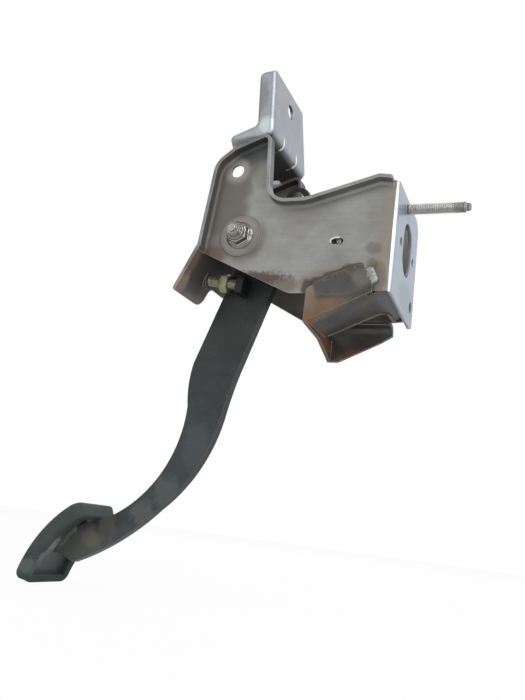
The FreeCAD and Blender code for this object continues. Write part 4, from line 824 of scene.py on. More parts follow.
def nut_skin(spindle: Spindle, across: float, bore: float, ends: tuple,
             chamfers: tuple = (True, True)) -> Skin:
    """Work out a hexagon nut or head with cone-chamfered corners.

    Each row's radius is the smaller of the hexagon's radius and a cone that opens by CONE_SLOPE for
    each millimetre from the chamfered end.

    Args:
        spindle: Its axis.
        across: Width across flats.
        bore: Radius of its hole.
        ends: Where it starts and stops along the axis.
        chamfers: Whether its start and its end are chamfered.

    Returns:
        The closed surface.
    """
    start, stop = ends
    steps = np.array([0, 0.25, 0.5, 0.75, 1.0, 1.3])
    runs = np.concatenate([start + steps, stop - steps[::-1]])
    turn = angles(72)
    cones = [across / 2 * CONE_START + CONE_SLOPE * away + (0 if chamfered else across)
             for away, chamfered in zip((runs - start, stop - runs), chamfers)]
    outer = np.minimum(hexagon_reach(turn, across), np.minimum(*cones)[:, None])
    hole = np.full((1, turn.size), bore)
    wide = np.full((1, turn.size), bore + BORE_CHAMFER)
    radius = np.concatenate([hole, wide, outer, wide, hole])
    run = np.concatenate([[start + BORE_CHAMFER, start], runs, [stop, stop - BORE_CHAMFER]])
    return Skin(spindle.place(radius, turn, run[:, None]), loop=True)


def bead_skin(path: np.ndarray, crown: np.ndarray, width: float, height: float, seed: float,
              pitch: float = 1.7, loop: bool = False) -> Skin:
    """Work out a weld bead carried along a path.

    A section is half an ellipse over a shallow root. Its height swings a little with the ripples,
    cos(turn x (run / pitch) + lag), where the lag grows to the bead's sides, and its width and place
    wander by slow sine waves. Its ends taper as the root of 1 - |share from the middle|^6.

    Args:
        path: Points of the bead's root.
        crown: The direction that the bead stands up in, one for all or one for each point.
        width: Width of the bead.
        height: Height over its root.
        seed: Phase of the wandering.
        pitch: Length of a ripple.
        loop: Whether the path closes on itself.

    Returns:
        The closed surface.
    """
    ripple_swing, height_wander, width_wander, place_wander = 0.07, 0.05, 0.12, 0.05
    root_share, lag_swing, taper_floor = 0.25, 1.6, 0.02
    ahead = unit(np.roll(path, -1, axis=0) - np.roll(path, 1, axis=0) if loop
                 else np.gradient(path, axis=0))
    crown = square_to(np.broadcast_to(np.asarray(crown, float), path.shape), ahead)
    beside = np.cross(ahead, crown)
    run = np.concatenate([[0], np.cumsum(np.linalg.norm(np.diff(path, axis=0), axis=1))])
    share = run / run[-1]
    taper = (np.ones_like(share) if loop
             else np.clip(1 - np.abs(2 * share - 1) ** 6, taper_floor, 1) ** 0.5)[:, None]
    turns = (round(run[-1] / pitch) * share)[:, None]
    wander = (np.sin(TURN * 2 * share + seed) + 0.6 * np.sin(TURN * 5 * share + 2 * seed))[:, None]
    angle = angles(20)
    sine, cosine = np.sin(angle), np.cos(angle)
    ripple = 1 + ripple_swing * np.cos(TURN * turns + lag_swing * cosine ** 2) + height_wander * wander
    dome = np.where(sine > 0, np.maximum(sine, 0) ** 0.8, root_share * sine)
    rise = dome * height * ripple * taper
    reach = width / 2 * cosine * (1 + width_wander * wander) * taper
    shift = 0 if loop else place_wander * width * wander
    return Skin(path[:, None] + (reach + shift)[..., None] * beside[:, None]
                + rise[..., None] * crown[:, None], loop)


def wire_skin(path: np.ndarray, side: np.ndarray, radius: float) -> Skin:
    """Carry a round section along a path: the point is path + radius x (side x cos + up x sin).

    Args:
        path: The wire's middle line.
        side: A direction off the line, one for all or one for each point.
        radius: Radius of the wire.

    Returns:
        The closed surface.
    """
    ahead = unit(np.gradient(path, axis=0))
    side = square_to(np.broadcast_to(np.asarray(side, float), path.shape), ahead)
    up = np.cross(ahead, side)
    turn = angles(14)[..., None]
    return Skin(path[:, None] + radius * (side[:, None] * np.cos(turn) + up[:, None] * np.sin(turn)))


def line(start: Triple, stop: Triple, step: float = 0.3) -> np.ndarray:
    """Work out evenly spaced points from one place to another.

    Args:
        start: The first point.
        stop: The last point.
        step: About how far apart they are.

    Returns:
        The points as rows.
    """
    first, last = np.asarray(start, float), np.asarray(stop, float)
    count = max(int(np.linalg.norm(last - first) / step), 2) + 1
    return first + (last - first) * np.linspace(0, 1, count)[:, None]


def put(name: str, data: bpy.types.ID) -> bpy.types.Object:
    """Put a new object into the scene.

    Args:
        name: The object's name.
        data: Its mesh, light or camera.

    Returns:
        The new object.
    """
    thing = bpy.data.objects.new(name, data)
    bpy.context.scene.collection.objects.link(thing)
    return thing


class Workshop:
    """The effects and the materials, each made when it is first asked for."""

    def __init__(self) -> None:
        """Build the effects."""
        self.effects = Effects()
        self.made: dict[str, bpy.types.Material] = {}

    def material(self, finish: Finish) -> bpy.types.Material:
        """Find or build a finish's material.

        Args:
            finish: The finish.

        Returns:
            Its material.
        """
        if finish.name not in self.made:
            self.made[finish.name] = finish.material(self.effects)
        return self.made[finish.name]


@dataclass(frozen=True)
class Assembly:
    """A part of the pedal that is built with a workshop's effects and materials."""

    shop: Workshop

    def build(self) -> None:
        """Build the part."""
        raise NotImplementedError

    def dress(self, finish: Finish, *nodes: str) -> None:
        """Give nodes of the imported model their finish.

        Args:
            finish: The finish.
            *nodes: The nodes' names.
        """
        for node in nodes:
            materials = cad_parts[node].data.materials
            materials.clear()
            materials.append(self.shop.material(finish))
            LOG.info("%s: dressed with %s", node, finish.name)

    def make(self, name: str, skins: list[Skin], finish: Finish, slot: Slot, body: Body | None,
             *nodes: str) -> bpy.types.Object:
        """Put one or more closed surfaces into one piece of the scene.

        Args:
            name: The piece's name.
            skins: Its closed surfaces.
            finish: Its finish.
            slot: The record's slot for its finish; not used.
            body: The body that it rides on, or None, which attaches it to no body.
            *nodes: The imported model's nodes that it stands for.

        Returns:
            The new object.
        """
        vertices, faces, count = [], [], 0
        for skin in skins:
            points, polygons = skin.parts()
            vertices.append(points)
            faces += [[number + count for number in polygon] for polygon in polygons]
            count += len(points)
        mesh = bpy.data.meshes.new(name)
        mesh.from_pydata((np.concatenate(vertices) * MM).tolist(), [], faces)
        mesh.validate()
        mesh.shade_smooth()
        mesh.set_sharp_from_angle(angle=SHARP_TURN)
        mesh.materials.append(self.shop.material(finish))
        piece = put(name, mesh)
        if body is not None:
            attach(piece, body.value)
        if nodes:
            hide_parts(*nodes)
        LOG.info("%s: %d faces", name, len(faces))
        return piece


# Sub-assemblies


@dataclass(frozen=True)
class Stud(Assembly):
    """Threaded stud that stands out of the flange, with a turned-down point."""

    side: float = -10.0
    up: float = 29.5
    radius: float = 4.0
    pitch: float = 1.25
    length: float = 45.0
    neck_end: float = 1.3
    neck_depth: float = 0.5
    point_radius: float = 2.8
    point_length: float = 3.0
    head_radius: float = 6.5
    sheet: float = 2.5
    head_height: float = 2.0
    edge: float = 0.7

    def build(self) -> None:
        """Build the stud from one profile whose shank carries the thread."""
        spindle = Spindle((0, self.side, self.up), (1, 0, 0), (0, 1, 0))
        back = -self.sheet - self.head_height
        tip = self.length - self.point_length
        neck = self.radius - self.neck_depth
        head = [(back, self.head_radius - 0.5), (back, self.head_radius), (-self.sheet, self.head_radius),
                (-self.sheet + 0.02, self.radius), (0, self.radius), (0.02, neck), (self.neck_end, neck)]
        point = [(tip - 0.6, self.radius - self.edge), (tip, self.point_radius + 0.3),
                 (tip + 0.05, self.point_radius), (self.length - self.edge, self.point_radius),
                 (self.length, self.point_radius - self.edge)]
        shank = stretch(np.arange(self.neck_end + 0.2, tip - 1.0, self.pitch / ROWS_PER_PITCH), self.radius)
        stud = threaded_skin(spindle, [head, shank, point], self.pitch, (1.6, tip - 1.2))
        self.make("threaded_stud", [stud], STUD_STEEL, Slot.ZINC, Body.BRACKET, "flange_stud")


@dataclass(frozen=True)
class Pivot(Assembly):
    """Bolt, flanged nut and bushes on which the arm turns."""

    back: float = 116.0
    bolt_radius: float = 5.0
    pitch: float = 1.5
    seat: float = 41.2
    end: float = 57.0
    far_seat: float = 32.5
    across: float = 15.0
    nut_height: float = 10.0
    flange_radius: float = 10.5
    flange_height: float = 1.8
    head_height: float = 9.0
    dish_radius: float = 2.2
    collar_height: float = 2.6

    def build(self) -> None:
        """Build the bolt and its nut, and dress the pieces that turn on it."""
        spindle = Spindle((-self.back, 0, 0), (0, -1, 0), (1, 0, 0))
        self.make("pivot_bolt_turned", self._bolt(spindle), ZINC, Slot.ZINC, Body.BRACKET, "pivot_bolt")
        self.make("flanged_lock_nut", self._nut(spindle), ZINC, Slot.ZINC, Body.BRACKET, "pivot_nut")
        self.dress(SLEEVE_STEEL, "pivot_sleeve")
        self.dress(BUSH, "near_bush", "far_bush")
        self.dress(PAINT, "pivot_tube")

    def _bolt(self, spindle: Spindle) -> list[Skin]:
        """Work out the bolt: its threaded shank, its flange, and its head with the dish in it.

        Args:
            spindle: Its axis.

        Returns:
            The closed surfaces.
        """
        radius, end, far = self.bolt_radius, self.end, -self.far_seat
        plain = np.linspace(far - 1.0, self.seat + 2, 12)
        thread = np.arange(self.seat + 2.2, end - 2.4, self.pitch / ROWS_PER_PITCH)
        point = [(end - 2.2, radius - 0.5), (end - 2, radius - 0.9), (end - 1.95, radius - 2),
                 (end - 0.4, radius - 2), (end, radius - 2.4)]
        shank = threaded_skin(spindle, [stretch(plain, radius), stretch(thread, radius), point],
                              self.pitch, (self.seat + 2, end - 2.2), 48)
        skirt = far - self.flange_height
        top = skirt - self.head_height
        flange = turned_skin(spindle, [
            (far, radius - 0.2), (far, self.flange_radius), (far - 0.7, self.flange_radius),
            (skirt, self.flange_radius - 1.6), (skirt - 0.4, self.across / 2 - 0.2),
            (skirt - 0.4, radius - 0.2)], loop=True)
        head = nut_skin(spindle, self.across, 2.0, (top, skirt + 0.1), (True, False))
        dish = turned_skin(spindle, [(top + 0.9, self.dish_radius + 0.4), (top + 0.6, self.dish_radius),
                                     (skirt - 1, self.dish_radius)], 24)
        return [shank, flange, head, dish]

    def _nut(self, spindle: Spindle) -> list[Skin]:
        """Work out the nut: its flange, its hexagon and its locking collar.

        Args:
            spindle: Its axis.

        Returns:
            The closed surfaces.
        """
        seat, side, bore = self.seat, self.across / 2, self.bolt_radius + 0.1
        collar = seat + self.nut_height - self.collar_height
        flange = turned_skin(spindle, [
            (seat, bore), (seat, self.flange_radius), (seat + 0.8, self.flange_radius),
            (seat + 1.3, self.flange_radius - 0.5), (seat + 2.6, side + 0.3), (seat + 2.6, bore)], loop=True)
        hexagon = nut_skin(spindle, self.across, bore, (seat + 1.5, collar), (False, True))
        ring = turned_skin(spindle, [
            (collar - 0.4, bore), (collar - 0.4, side - 0.4), (collar + 1.4, side - 0.5),
            (collar + 2.3, side - 1.1), (collar + self.collar_height, side - 1.9),
            (collar + 2.3, bore)], loop=True)
        return [flange, hexagon, ring]


@dataclass(frozen=True)
class StopScrew(Assembly):
    """Pedal-height screw through the tab, its lock nut, and the lug on the arm that it meets."""

    heel: tuple = (-147.0, -12.0)
    below_heel: float = 15.0
    tab_angle: float = 24.0
    sheet: float = 2.5
    near: float = 15.0
    tilt: float = 9.0
    radius: float = 4.0
    pitch: float = 1.25
    reach: float = 27.0
    across: float = 13.0
    collar_back: float = 4.0
    head_height: float = 5.3
    plug_radius: float = 2.0
    nut_start: float = 12.5
    nut_height: float = 6.5

    def build(self) -> None:
        """Build the threaded screw, its head and its lock nut on the tilted axis."""
        start = in_plane(self.heel, -self.near) - self.below_heel * tilted(90 - self.tab_angle)[0]
        start = start + np.array([self.sheet, 0, 0])
        spindle = Spindle(tuple(start), tuple(tilted(-self.tilt)[0]), (0, 1, 0))
        seat, tip = -self.collar_back, self.reach
        shank = stretch(np.arange(seat - 0.6, tip - 1.6, self.pitch / ROWS_PER_PITCH), self.radius)
        point = [(tip - 1.4, self.radius - 0.3), (tip - 0.9, self.radius - 0.6), (tip, self.radius - 1.4)]
        screw = threaded_skin(spindle, [shank, point], self.pitch, (seat + 6, tip - 1.4))
        top = seat - self.head_height
        head = nut_skin(spindle, self.across, 1.5, (top, seat), (True, False))
        plug = turned_skin(spindle, [(top + 0.5, self.plug_radius), (seat - 0.5, self.plug_radius)], 24)
        nut = nut_skin(spindle, self.across, self.radius + 0.05,
                       (self.nut_start, self.nut_start + self.nut_height))
        self.make("stop_screw_threaded", [screw, head, plug], YELLOW_ZINC, Slot.YELLOW_ZINC, Body.BRACKET,
                  "stop_bolt")
        self.make("stop_lock_nut_chamfered", [nut], YELLOW_ZINC, Slot.YELLOW_ZINC, Body.BRACKET,
                  "stop_lock_nut")
        self.dress(SHADED_LUG_PAINT, "stop_lug")


@dataclass(frozen=True)
class BracketWelds(Assembly):
    """Rippled beads on the bracket: gusset lap, top bracket's foot and far wall."""

    near_face: float = 40.0
    lap_left: tuple = (-59.0, -41.0)
    lap_corner: tuple = (-19.0, -25.0)
    lap_low: tuple = (-12.0, -39.0)
    lap_start: float = 2.2
    lap_stop: float = 0.6
    lap_inset: float = 0.36
    lap_pitch: float = 3.4
    width: float = 4.0
    height: float = 3.0
    foot_corner: tuple = FOOT_CORNER
    foot_slope: float = FOOT_SLOPE
    foot_start: float = 7.0
    foot_length: float = 20.0
    foot_faces: tuple = (-45.0, 29.7)
    foot_width: float = 3.4
    foot_height: float = 1.7
    far_corner: tuple = (-2.5, 30.0)
    far_length: float = 24.0
    far_width: float = 4.0
    far_height: float = 1.9

    def build(self) -> None:
        """Build each bead along its seam."""
        self._lap()
        self._feet()
        x, y = (value - 0.4 for value in self.far_corner)
        half = self.far_length / 2
        far = bead_skin(line((x, y, -half), (x, y, half)), (-1, -1, 0), self.far_width, self.far_height, 2.2)
        self.make("far_wall_bead", [far], BEAD, Slot.WELD, Body.BRACKET, "far_plate_weld")

    def _lap(self) -> None:
        """Build the brown bead along the lap and the bright blob that ends it."""
        left, corner, low = (np.array(place) for place in (self.lap_left, self.lap_corner, self.lap_low))
        for name, start, end, wide, finish, node in (
                ("lap_bead", left, corner, self.width + 1.8, BEAD, "gusset_weld"),
                ("lap_end_bead", corner, low, self.width + 3.4, SILVER_BEAD, "gusset_weld_end")):
            along = (end - start) / np.linalg.norm(end - start)
            across = np.array([-along[1], along[0]]) * self.width * self.lap_inset
            first, last = start + along * self.lap_start + across, end - along * self.lap_stop + across
            path = line(in_plane(first, -self.near_face), in_plane(last, -self.near_face))
            bead = bead_skin(path, (0, -1, 0), wide, self.height, 0.7 + wide, self.lap_pitch)
            self.make(name, [bead], finish, Slot.WELD, Body.BRACKET, node)

    def _feet(self) -> None:
        """Build the two beads beside the top bracket's foot."""
        along, rise = tilted(self.foot_slope)
        for side, face in zip(("near", "far"), self.foot_faces):
            out = np.array([0, math.copysign(1, face), 0])
            start = in_plane(self.foot_corner, face) - along * self.foot_start + (out + rise) * 0.3
            bead = bead_skin(line(start, start - along * self.foot_length), out + rise, self.foot_width,
                             self.foot_height, face)
            self.make(f"{side}_foot_bead", [bead], BEAD, Slot.WELD, Body.BRACKET, f"{side}_foot_weld")


@dataclass(frozen=True)
class Bracket(Assembly):
    """The pressed walls, the top bracket and the gusset, with their small pressed ridges."""

    near_face: float = 40.0
    lance: tuple = (-41.0, -6.0)
    lance_half: tuple = (4.9, 2.7)
    lance_arc: tuple = (70, 205)
    lance_radius: float = 0.55
    tongue: tuple = ((-41.2, -7.2), (-37.6, -6.0))
    tongue_width: float = 3.6
    tongue_height: float = 1.3
    corner: tuple = FOOT_CORNER
    foot_slope: float = FOOT_SLOPE
    mast_lean: float = 4.5
    bend_reach: float = 3.4
    dart_reach: float = 8.0
    dart_foot_reach: float = 3.7
    dart_radius: float = 0.7
    darts: tuple = (-21.0, 8.0)
    arch_far: float = 2.0
    arch_end: float = -12.0
    arch_round: float = 10.0
    arch_depth: float = 24.0
    lip_radius: float = 1.5
    lip_rise: float = 0.7
    sole_left: tuple = (-59.0, -66.0)
    sole_right: tuple = (-12.0, -44.0)

    def build(self) -> None:
        """Dress the sheet parts and build the ridges."""
        self.dress(NEAR_WALL, "side_plate")
        self.dress(FAR_WALL, "far_plate")
        self.dress(TOP_STEEL, "top_bracket")
        self.dress(GUSSET_STEEL, "lower_gusset")
        self._lance()
        self._darts()
        self._arch()

    def _lance(self) -> None:
        """Build the raised tongue in the slot and a near-white crescent at its left end, a painted highlight.

        The crescent's middle line is centre + (half length x cos a, half width x sin a) for a over
        the lance's arc.
        """
        (x, z), (wide, high) = self.lance, self.lance_half
        turn = np.radians(np.linspace(*self.lance_arc, 40))
        crescent = np.column_stack([x + wide * np.cos(turn), np.full(turn.size, -self.near_face),
                                    z + high * np.sin(turn)])
        start, stop = self.tongue
        tongue = line(in_plane(start, -self.near_face + 0.5), in_plane(stop, -self.near_face + 0.1))
        self.make("lance_glint_crescent", [wire_skin(crescent, (0, -1, 0), self.lance_radius)], GLINT_LIP,
                  Slot.RAW_STEEL, Body.BRACKET)
        self.make("lance_tongue",
                  [bead_skin(tongue, (0, -1, 0), self.tongue_width, self.tongue_height, 0.4, 9.0)],
                  SLEEVE_STEEL, Slot.RAW_STEEL, Body.BRACKET)

    def _darts(self) -> None:
        """Build the two ridges over the top bracket's bend, near white as painted highlights.

        Round the bend the middle line is start x (1 - t)^2 + corner x 2t(1 - t) + stop x t^2.
        """
        foot, mast = -tilted(self.foot_slope)[0], tilted(self.mast_lean)[1]
        t = np.linspace(0, 1, 20)[:, None]
        skins = []
        for side in self.darts:
            corner = in_plane(self.corner, side)
            start, stop = corner + foot * self.bend_reach, corner + mast * self.bend_reach
            bend = start * (1 - t) ** 2 + corner * 2 * t * (1 - t) + stop * t ** 2
            path = np.concatenate([line(corner + foot * self.dart_foot_reach, start)[:-1], bend,
                                   line(stop, corner + mast * self.dart_reach)[1:]])
            skins.append(wire_skin(path, (0, 1, 0), self.dart_radius))
        self.make("bend_ridges", skins, GLINT_LIP, Slot.RAW_STEEL, Body.BRACKET)

    def _arch(self) -> None:
        """Build the rolled lip along the edge of the gusset's arch, in a lighter finish that paints a
        highlight along it.

        The lip runs along the sole at height left + slope x (across - left), and turns into the
        arch's end with a quarter circle.
        """
        (left, low), (right, high) = self.sole_left, self.sole_right
        turn = np.radians(np.linspace(-90, 0, 24))
        reach, far, end = self.arch_round, self.arch_far, self.arch_end
        flat = np.concatenate([
            line((left + 5, far), (end - reach, far))[:-1],
            np.column_stack([end - reach + reach * np.cos(turn), far + reach + reach * np.sin(turn)]),
            line((end, far + reach), (end, far + self.arch_depth))[1:]])
        rise = low + (high - low) / (right - left) * (flat[:, 0] - left) + self.lip_rise
        lip = wire_skin(np.column_stack([flat, rise]), (0, 0, 1), self.lip_radius)
        self.make("rolled_arch_lip", [lip], LIP_GLINT_STEEL, Slot.RAW_STEEL, Body.BRACKET)


@dataclass(frozen=True)
class ArmWelds(Assembly):
    """Beads that join the arm to its tube and to the pad's plate."""

    pivot: tuple = (-116.0, 0.0)
    tube_radius: float = 13.55
    tube_bead: tuple = (4.2, 1.8)
    sides: tuple = (-8.0, 0.0)
    pad_angle: float = PAD_ANGLE
    pad_apex: tuple = PAD_APEX
    pad_radius: float = PAD_RADIUS
    pad_bead: tuple = (5.4, 2.3)
    plate_back: float = 93.5
    arm_end: float = 26.0

    def build(self) -> None:
        """Build two rings at the tube and two arcs at the pad's plate."""
        turn = angles(280)[0]
        spread = np.column_stack([np.cos(turn), np.zeros_like(turn), np.sin(turn)])
        along, outward = tilted(self.pad_angle)
        centre = in_plane(self.pad_apex) - outward * self.pad_radius
        half = self.arm_end / 2 / self.plate_back
        sweep = np.linspace(-half, half, 90)[:, None]
        ray = along * np.sin(sweep) + outward * np.cos(sweep)
        for index, (name, side) in enumerate(zip(("near", "far"), self.sides)):
            out = np.array([0, 2 * index - 1, 0])
            ring = in_plane(self.pivot, side) + spread * (self.tube_radius + 0.4) + out * 0.4
            arc = centre + ray * (self.plate_back - 0.5) + np.array([0, side, 0]) + out * 0.5
            self.make(f"{name}_tube_bead", [bead_skin(ring, spread + out, *self.tube_bead, 1.0 + index,
                                                      loop=True)],
                      ARM_BEAD, Slot.WELD, Body.PEDAL, f"{name}_tube_weld")
            self.make(f"{name}_pad_bead", [bead_skin(arc, out - ray, *self.pad_bead, 3.0 + index, 2.1)],
                      ARM_BEAD, Slot.WELD, Body.PEDAL, f"{name}_pad_weld")


@dataclass(frozen=True)
class ReturnSpring(Assembly):
    """Torsion spring round the tube: a hook before the arm, 4.5 coils, and a tail in the far wall."""

    pivot_back: float = 116.0
    mean: float = 15.85
    wire: float = 1.5
    turns: float = 4.5
    pitch: float = 3.8
    start: float = 3.6
    tail: float = 12.0
    bend: float = 3.0
    near_end: float = -10.6
    far_end: float = 33.5
    hook: tuple = (20.27, -25.53)
    step: float = 1.2
    slack: float = 0.6
    points_per_turn: int = 44

    def build(self) -> None:
        """Build the wire in the spring's own frame, turn it to the hook, and bake it in place on no body.

        In its own frame the wire runs straight from the hook to (mean, 0), winds as
        (mean cos a, mean sin a, pitch a / turn), and leaves straight along the coil's direction.
        """
        hook_x, hook_z = self.hook
        mean, bend = self.mean, self.bend
        reach = math.sqrt(hook_x ** 2 + hook_z ** 2 - mean ** 2)
        lean = math.atan2(reach, mean) - math.atan2(hook_z, hook_x)
        last = TURN * self.turns
        height = self.turns * self.pitch
        quarter = np.linspace(0, math.pi / 2, 9)[1:-1, None]
        leg = line((mean, -reach, self.near_end), (mean, -reach, -bend), self.step)
        crook = np.column_stack([np.full_like(quarter, mean), -reach + bend * (1 - np.cos(quarter)),
                                 -bend * (1 - np.sin(quarter))])
        run_in = line((mean, bend - reach, 0), (mean, -self.slack, 0), self.step)
        turn = np.linspace(0, last, int(self.turns * self.points_per_turn))
        coil = np.column_stack([mean * np.cos(turn), mean * np.sin(turn), turn / TURN * self.pitch])
        out = np.array([math.cos(last), math.sin(last), 0])
        ahead = np.array([-math.sin(last), math.cos(last), 0])
        up = np.array([0, 0, 1.0])
        leave = out * mean + up * height
        straight = line(leave + ahead * self.slack, leave + ahead * (self.tail - bend), self.step)
        knee = straight[-1] + ahead * bend * np.sin(quarter) + up * bend * (1 - np.cos(quarter))
        corner = leave + ahead * self.tail + up * bend
        tail = line(corner, (corner[0], corner[1], self.far_end - self.start), self.step)
        path = np.concatenate([leg, crook, run_in, coil, straight, knee, tail])
        before = len(leg) + len(crook) + len(run_in)
        side = np.concatenate([np.tile([1.0, 0, 0], (before, 1)),
                               np.column_stack([np.cos(turn), np.sin(turn), 0 * turn]),
                               np.tile(out, (len(path) - before - len(coil), 1))])
        spin = np.array(Matrix.Rotation(lean, 3, "Y") @ Matrix.Rotation(-math.pi / 2, 3, "X"))
        path = path @ spin.T + np.array([-self.pivot_back, self.start, 0])
        spring = self.make("coiled_return_spring", [wire_skin(path, side @ spin.T, self.wire)],
                           SPRING_STEEL, Slot.SPRING, None, "return_spring")
        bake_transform(spring)


@dataclass(frozen=True)
class PadCover(Assembly):
    """Rubber cover: a crowned face with grip grooves, a rounded rim, and a lip round the plate."""

    apex: tuple = PAD_APEX
    angle: float = PAD_ANGLE
    radius: float = PAD_RADIUS
    length: float = 78.5
    low_shift: float = 2.25
    width: float = 53.0
    side: float = -7.5
    depth: float = 12.0
    skin: float = 4.0
    plate: float = 2.5
    rim: float = 4.0
    lip: float = 3.0
    corner: float = 8.0
    least_corner: float = 0.4
    face_round: float = 2.6
    rear_round: float = 1.4
    waist: float = 0.5
    groove_pitch: float = 8.0
    groove_width: float = 3.0
    groove_depth: float = 1.6
    groove_slope: float = 0.8
    groove_fade: float = 1.2

    def outline(self, inset: float) -> np.ndarray:
        """Work out the cover's rounded outline moved inwards.

        A point is a corner or side of the inner rectangle plus (corner radius - inset) x the outward
        direction there. Past the corner radius the inner rectangle itself shrinks.

        Args:
            inset: Distance inwards from the outer outline.

        Returns:
            Points as (run along the pad, place across it).
        """
        radius = max(self.corner - inset, self.least_corner)
        shrink = max(inset - (self.corner - self.least_corner), 0)
        half_run = max(self.length / 2 - self.corner - shrink, 0.02)
        half_side = max(self.width / 2 - self.corner - shrink, 0.01)
        cores = np.array([(1, 1), (-1, 1), (-1, -1), (1, -1)]) * (half_run, half_side)
        pieces = []
        for index, core in enumerate(cores):
            turn = np.linspace(0, math.pi / 2, 9) + index * math.pi / 2
            arc = core + radius * np.column_stack([np.cos(turn), np.sin(turn)])
            share = np.linspace(0, 1, 64 if index % 2 == 0 else 44)[1:-1, None]
            pieces += [arc, arc[-1] + (cores[(index + 1) % 4] - core) * share]
        return np.concatenate(pieces)

    def build(self) -> None:
        """Build the cover as rows from the middle of its face round the rim into the plate's seat."""
        face, rear = self.radius, self.radius - self.depth
        seat = face - self.skin - self.plate
        mouth = self.rim + self.lip
        inner = [self.outline(inset) for inset in np.linspace(self.width / 2 - 0.3, 3.2, 24)]
        rows = [(flat, face - self._groove(flat)) for flat in inner]
        rows += [(self.outline(self.face_round * (1 - math.sin(turn))),
                  face - self.face_round * (1 - math.cos(turn)))
                 for turn in np.linspace(0.12, 1, 6) * math.pi / 2]
        rows.append((self.outline(self.waist), (face + rear) / 2 - 1))
        rows += [(self.outline(self.waist + self.rear_round * (1 - math.cos(turn))),
                  rear + self.rear_round * (1 - math.sin(turn)))
                 for turn in np.linspace(0, 1, 5) * math.pi / 2]
        rows += [(self.outline(mouth + step), level) for step, level in (
            (-1.2, rear), (-0.3, rear + 0.4), (0, rear + 1.3), (0, seat),
            (0.5, seat + 0.3), (8, seat + 0.3), (16, seat + 0.3))]
        along, outward = tilted(self.angle)
        centre = in_plane(self.apex) - outward * self.radius
        grid = []
        for flat, radius in rows:
            turn = ((flat[:, 0] - self.low_shift) / self.radius)[:, None]
            level = np.broadcast_to(radius, flat.shape[:1])[:, None]
            grid.append(centre + along * level * np.sin(turn) + outward * level * np.cos(turn)
                        + np.array([0, 1, 0]) * (flat[:, 1:] + self.side))
        self.make("ribbed_pad_cover", [Skin(np.array(grid))], RUBBER, Slot.RUBBER, Body.PEDAL, "pad_rubber")

    def _groove(self, flat: np.ndarray) -> np.ndarray:
        """Work out the depth of the grip grooves: a rounded trough each pitch, ending before the sides.

        Args:
            flat: Points as (run along the pad, place across it).

        Returns:
            The depth at each point.
        """
        run, place = flat.T
        phase = np.abs((run / self.groove_pitch + 0.5) % 1 - 0.5) * self.groove_pitch
        trough = np.clip((self.groove_width / 2 - phase) / self.groove_slope + 0.5, 0, 1)
        inside = np.clip((self.width / 2 - self.rim - np.abs(place)) / self.groove_fade, 0, 1)
        within = np.clip((self.length / 2 - self.corner + 2 - np.abs(run)) / self.groove_fade, 0, 1)
        return self.groove_depth * trough * inside * within


@dataclass(frozen=True)
class Arm(Assembly):
    """The painted arm, the cable's pin and the pad's plate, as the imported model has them."""

    def build(self) -> None:
        """Dress the arm's own nodes."""
        self.dress(PAINT, "pedal_arm")
        self.dress(LIGHTENED_PLATE_PAINT, "pad_plate")
        self.dress(ZINC, "cable_pin")


# Camera, lights and floor


@dataclass(frozen=True)
class Lamp:
    """A square area lamp: its place and size in metres and its power in watts."""

    name: str
    place: Triple
    size: float
    power: float

    def build(self) -> None:
        """Place the lamp so that it faces the object's middle."""
        data = bpy.data.lights.new(self.name, "AREA")
        data.size = self.size
        data.energy = self.power
        lamp = put(self.name, data)
        lamp.location = self.place
        middle = (CAD_BOX[0] + CAD_BOX[1]) / 2
        lamp.rotation_mode = "QUATERNION"
        lamp.rotation_quaternion = (middle - Vector(self.place)).to_track_quat("-Z", "Y")


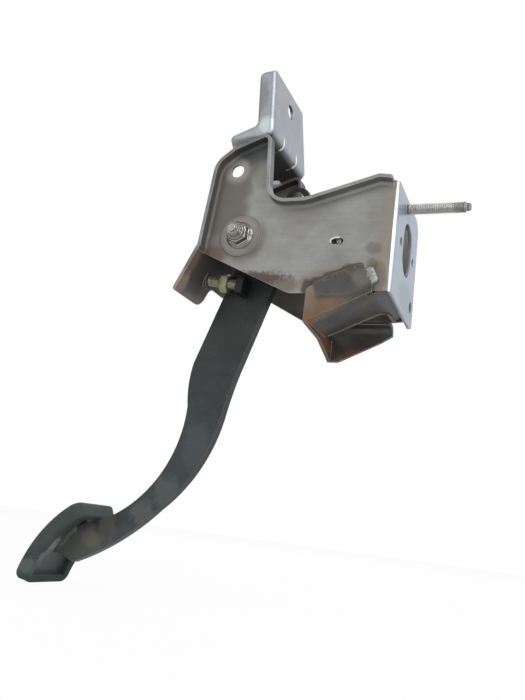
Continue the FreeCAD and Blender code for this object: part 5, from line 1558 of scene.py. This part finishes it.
@dataclass(frozen=True)
class Studio:
    """Camera at the photograph's angle, a pale floor, a soft key light and three weaker ones."""

    camera_place: Triple = (0.1157, -0.5129, -0.2059)
    right: Triple = (0.9231, 0.3645, 0.1228)
    up: Triple = (-0.0275, -0.2559, 0.9663)
    backward: Triple = (0.3836, -0.8954, -0.2262)
    lens: float = 38.79
    world_level: float = 0.5
    floor_size: float = 6.0
    floor_gap: float = 0.0004
    floor_colour: Triple = (240, 240, 240)
    floor_share: float = 0.95
    lamps: tuple = (
        Lamp("key_light", (1.2, -0.8, 1.2), 1.1, 15.0),
        Lamp("low_light", (0.9, -1.3, -0.05), 0.6, 5.0),
        Lamp("fill_light", (-1.0, -1.6, 0.6), 1.4, 6.0),
        Lamp("back_light", (-0.6, 1.5, 1.0), 1.2, 8.0),
    )

    def build(self) -> None:
        """Set up the view, the world, the floor and the lamps."""
        self._camera()
        self._world()
        self._floor()
        for lamp in self.lamps:
            lamp.build()
        bpy.context.scene.view_settings.view_transform = "Standard"

    def _camera(self) -> None:
        """Place the camera from its place and its three directions."""
        data = bpy.data.cameras.new("photo_camera")
        data.lens = self.lens
        data.sensor_width = 36.0
        data.clip_start = 0.01
        data.clip_end = 50.0
        camera = put("photo_camera", data)
        turn = Matrix((self.right, self.up, self.backward)).transposed()
        camera.matrix_world = Matrix.Translation(self.camera_place) @ turn.to_4x4()
        bpy.context.scene.camera = camera

    def _world(self) -> None:
        """Make the world white where it is seen or mirrored, and a plain soft light otherwise."""
        world = bpy.data.worlds.new("studio_world")
        web = Web.on(world)
        level = web.math("ADD", self.world_level, web.math("MULTIPLY", self._seen(web), 1 - self.world_level))
        white = web.add("Background", {"Color": (1, 1, 1, 1), "Strength": level})
        web.add("OutputWorld", {"Surface": white.outputs[0]})
        bpy.context.scene.world = world

    @staticmethod
    def _seen(web: Web) -> object:
        """Tell the rays that see or mirror a thing from those that only light by it.

        Args:
            web: The tree.

        Returns:
            The socket of a value that is 1 for camera, glossy and transmission rays.
        """
        rays = web.add("LightPath").outputs
        glossy = web.math("ADD", rays["Is Camera Ray"], rays["Is Glossy Ray"])
        return web.math("ADD", glossy, rays["Is Transmission Ray"], True)

    def _floor(self) -> None:
        """Make a pale floor just under the object that keeps its soft shadow and fades to white."""
        low = CAD_BOX[0].z - self.floor_gap
        half = self.floor_size / 2
        mesh = bpy.data.meshes.new("studio_floor")
        mesh.from_pydata([(-half, -half, low), (half, -half, low), (half, half, low), (-half, half, low)],
                         [], [(0, 1, 2, 3)])
        floor = put("studio_floor", mesh)
        material = bpy.data.materials.new("pale_floor")
        web = Web.on(material)
        matt = web.add("BsdfDiffuse", {"Color": linear(self.floor_colour)})
        white = web.add("Emission", {"Color": (1, 1, 1, 1), "Strength": 1.0})
        share = web.math("MULTIPLY", self._seen(web), self.floor_share)
        top = web.add("MixShader", {0: share, 1: matt.outputs[0], 2: white.outputs[0]})
        clear = web.add("BsdfTransparent")
        back = web.add("NewGeometry").outputs["Backfacing"]
        both = web.add("MixShader", {0: back, 1: top.outputs[0], 2: clear.outputs[0]})
        web.add("OutputMaterial", {"Surface": both.outputs[0]})
        mesh.materials.append(material)


def main() -> None:
    """Build every sub-assembly in order."""
    logging.basicConfig(level=logging.INFO, format="%(message)s")
    shop = Workshop()
    Studio().build()
    for kind in (Bracket, BracketWelds, Stud, StopScrew, Pivot, Arm, ArmWelds, ReturnSpring, PadCover):
        kind(shop).build()
        LOG.info("built %s", kind.__name__)


if __name__ == "__main__":
    main()
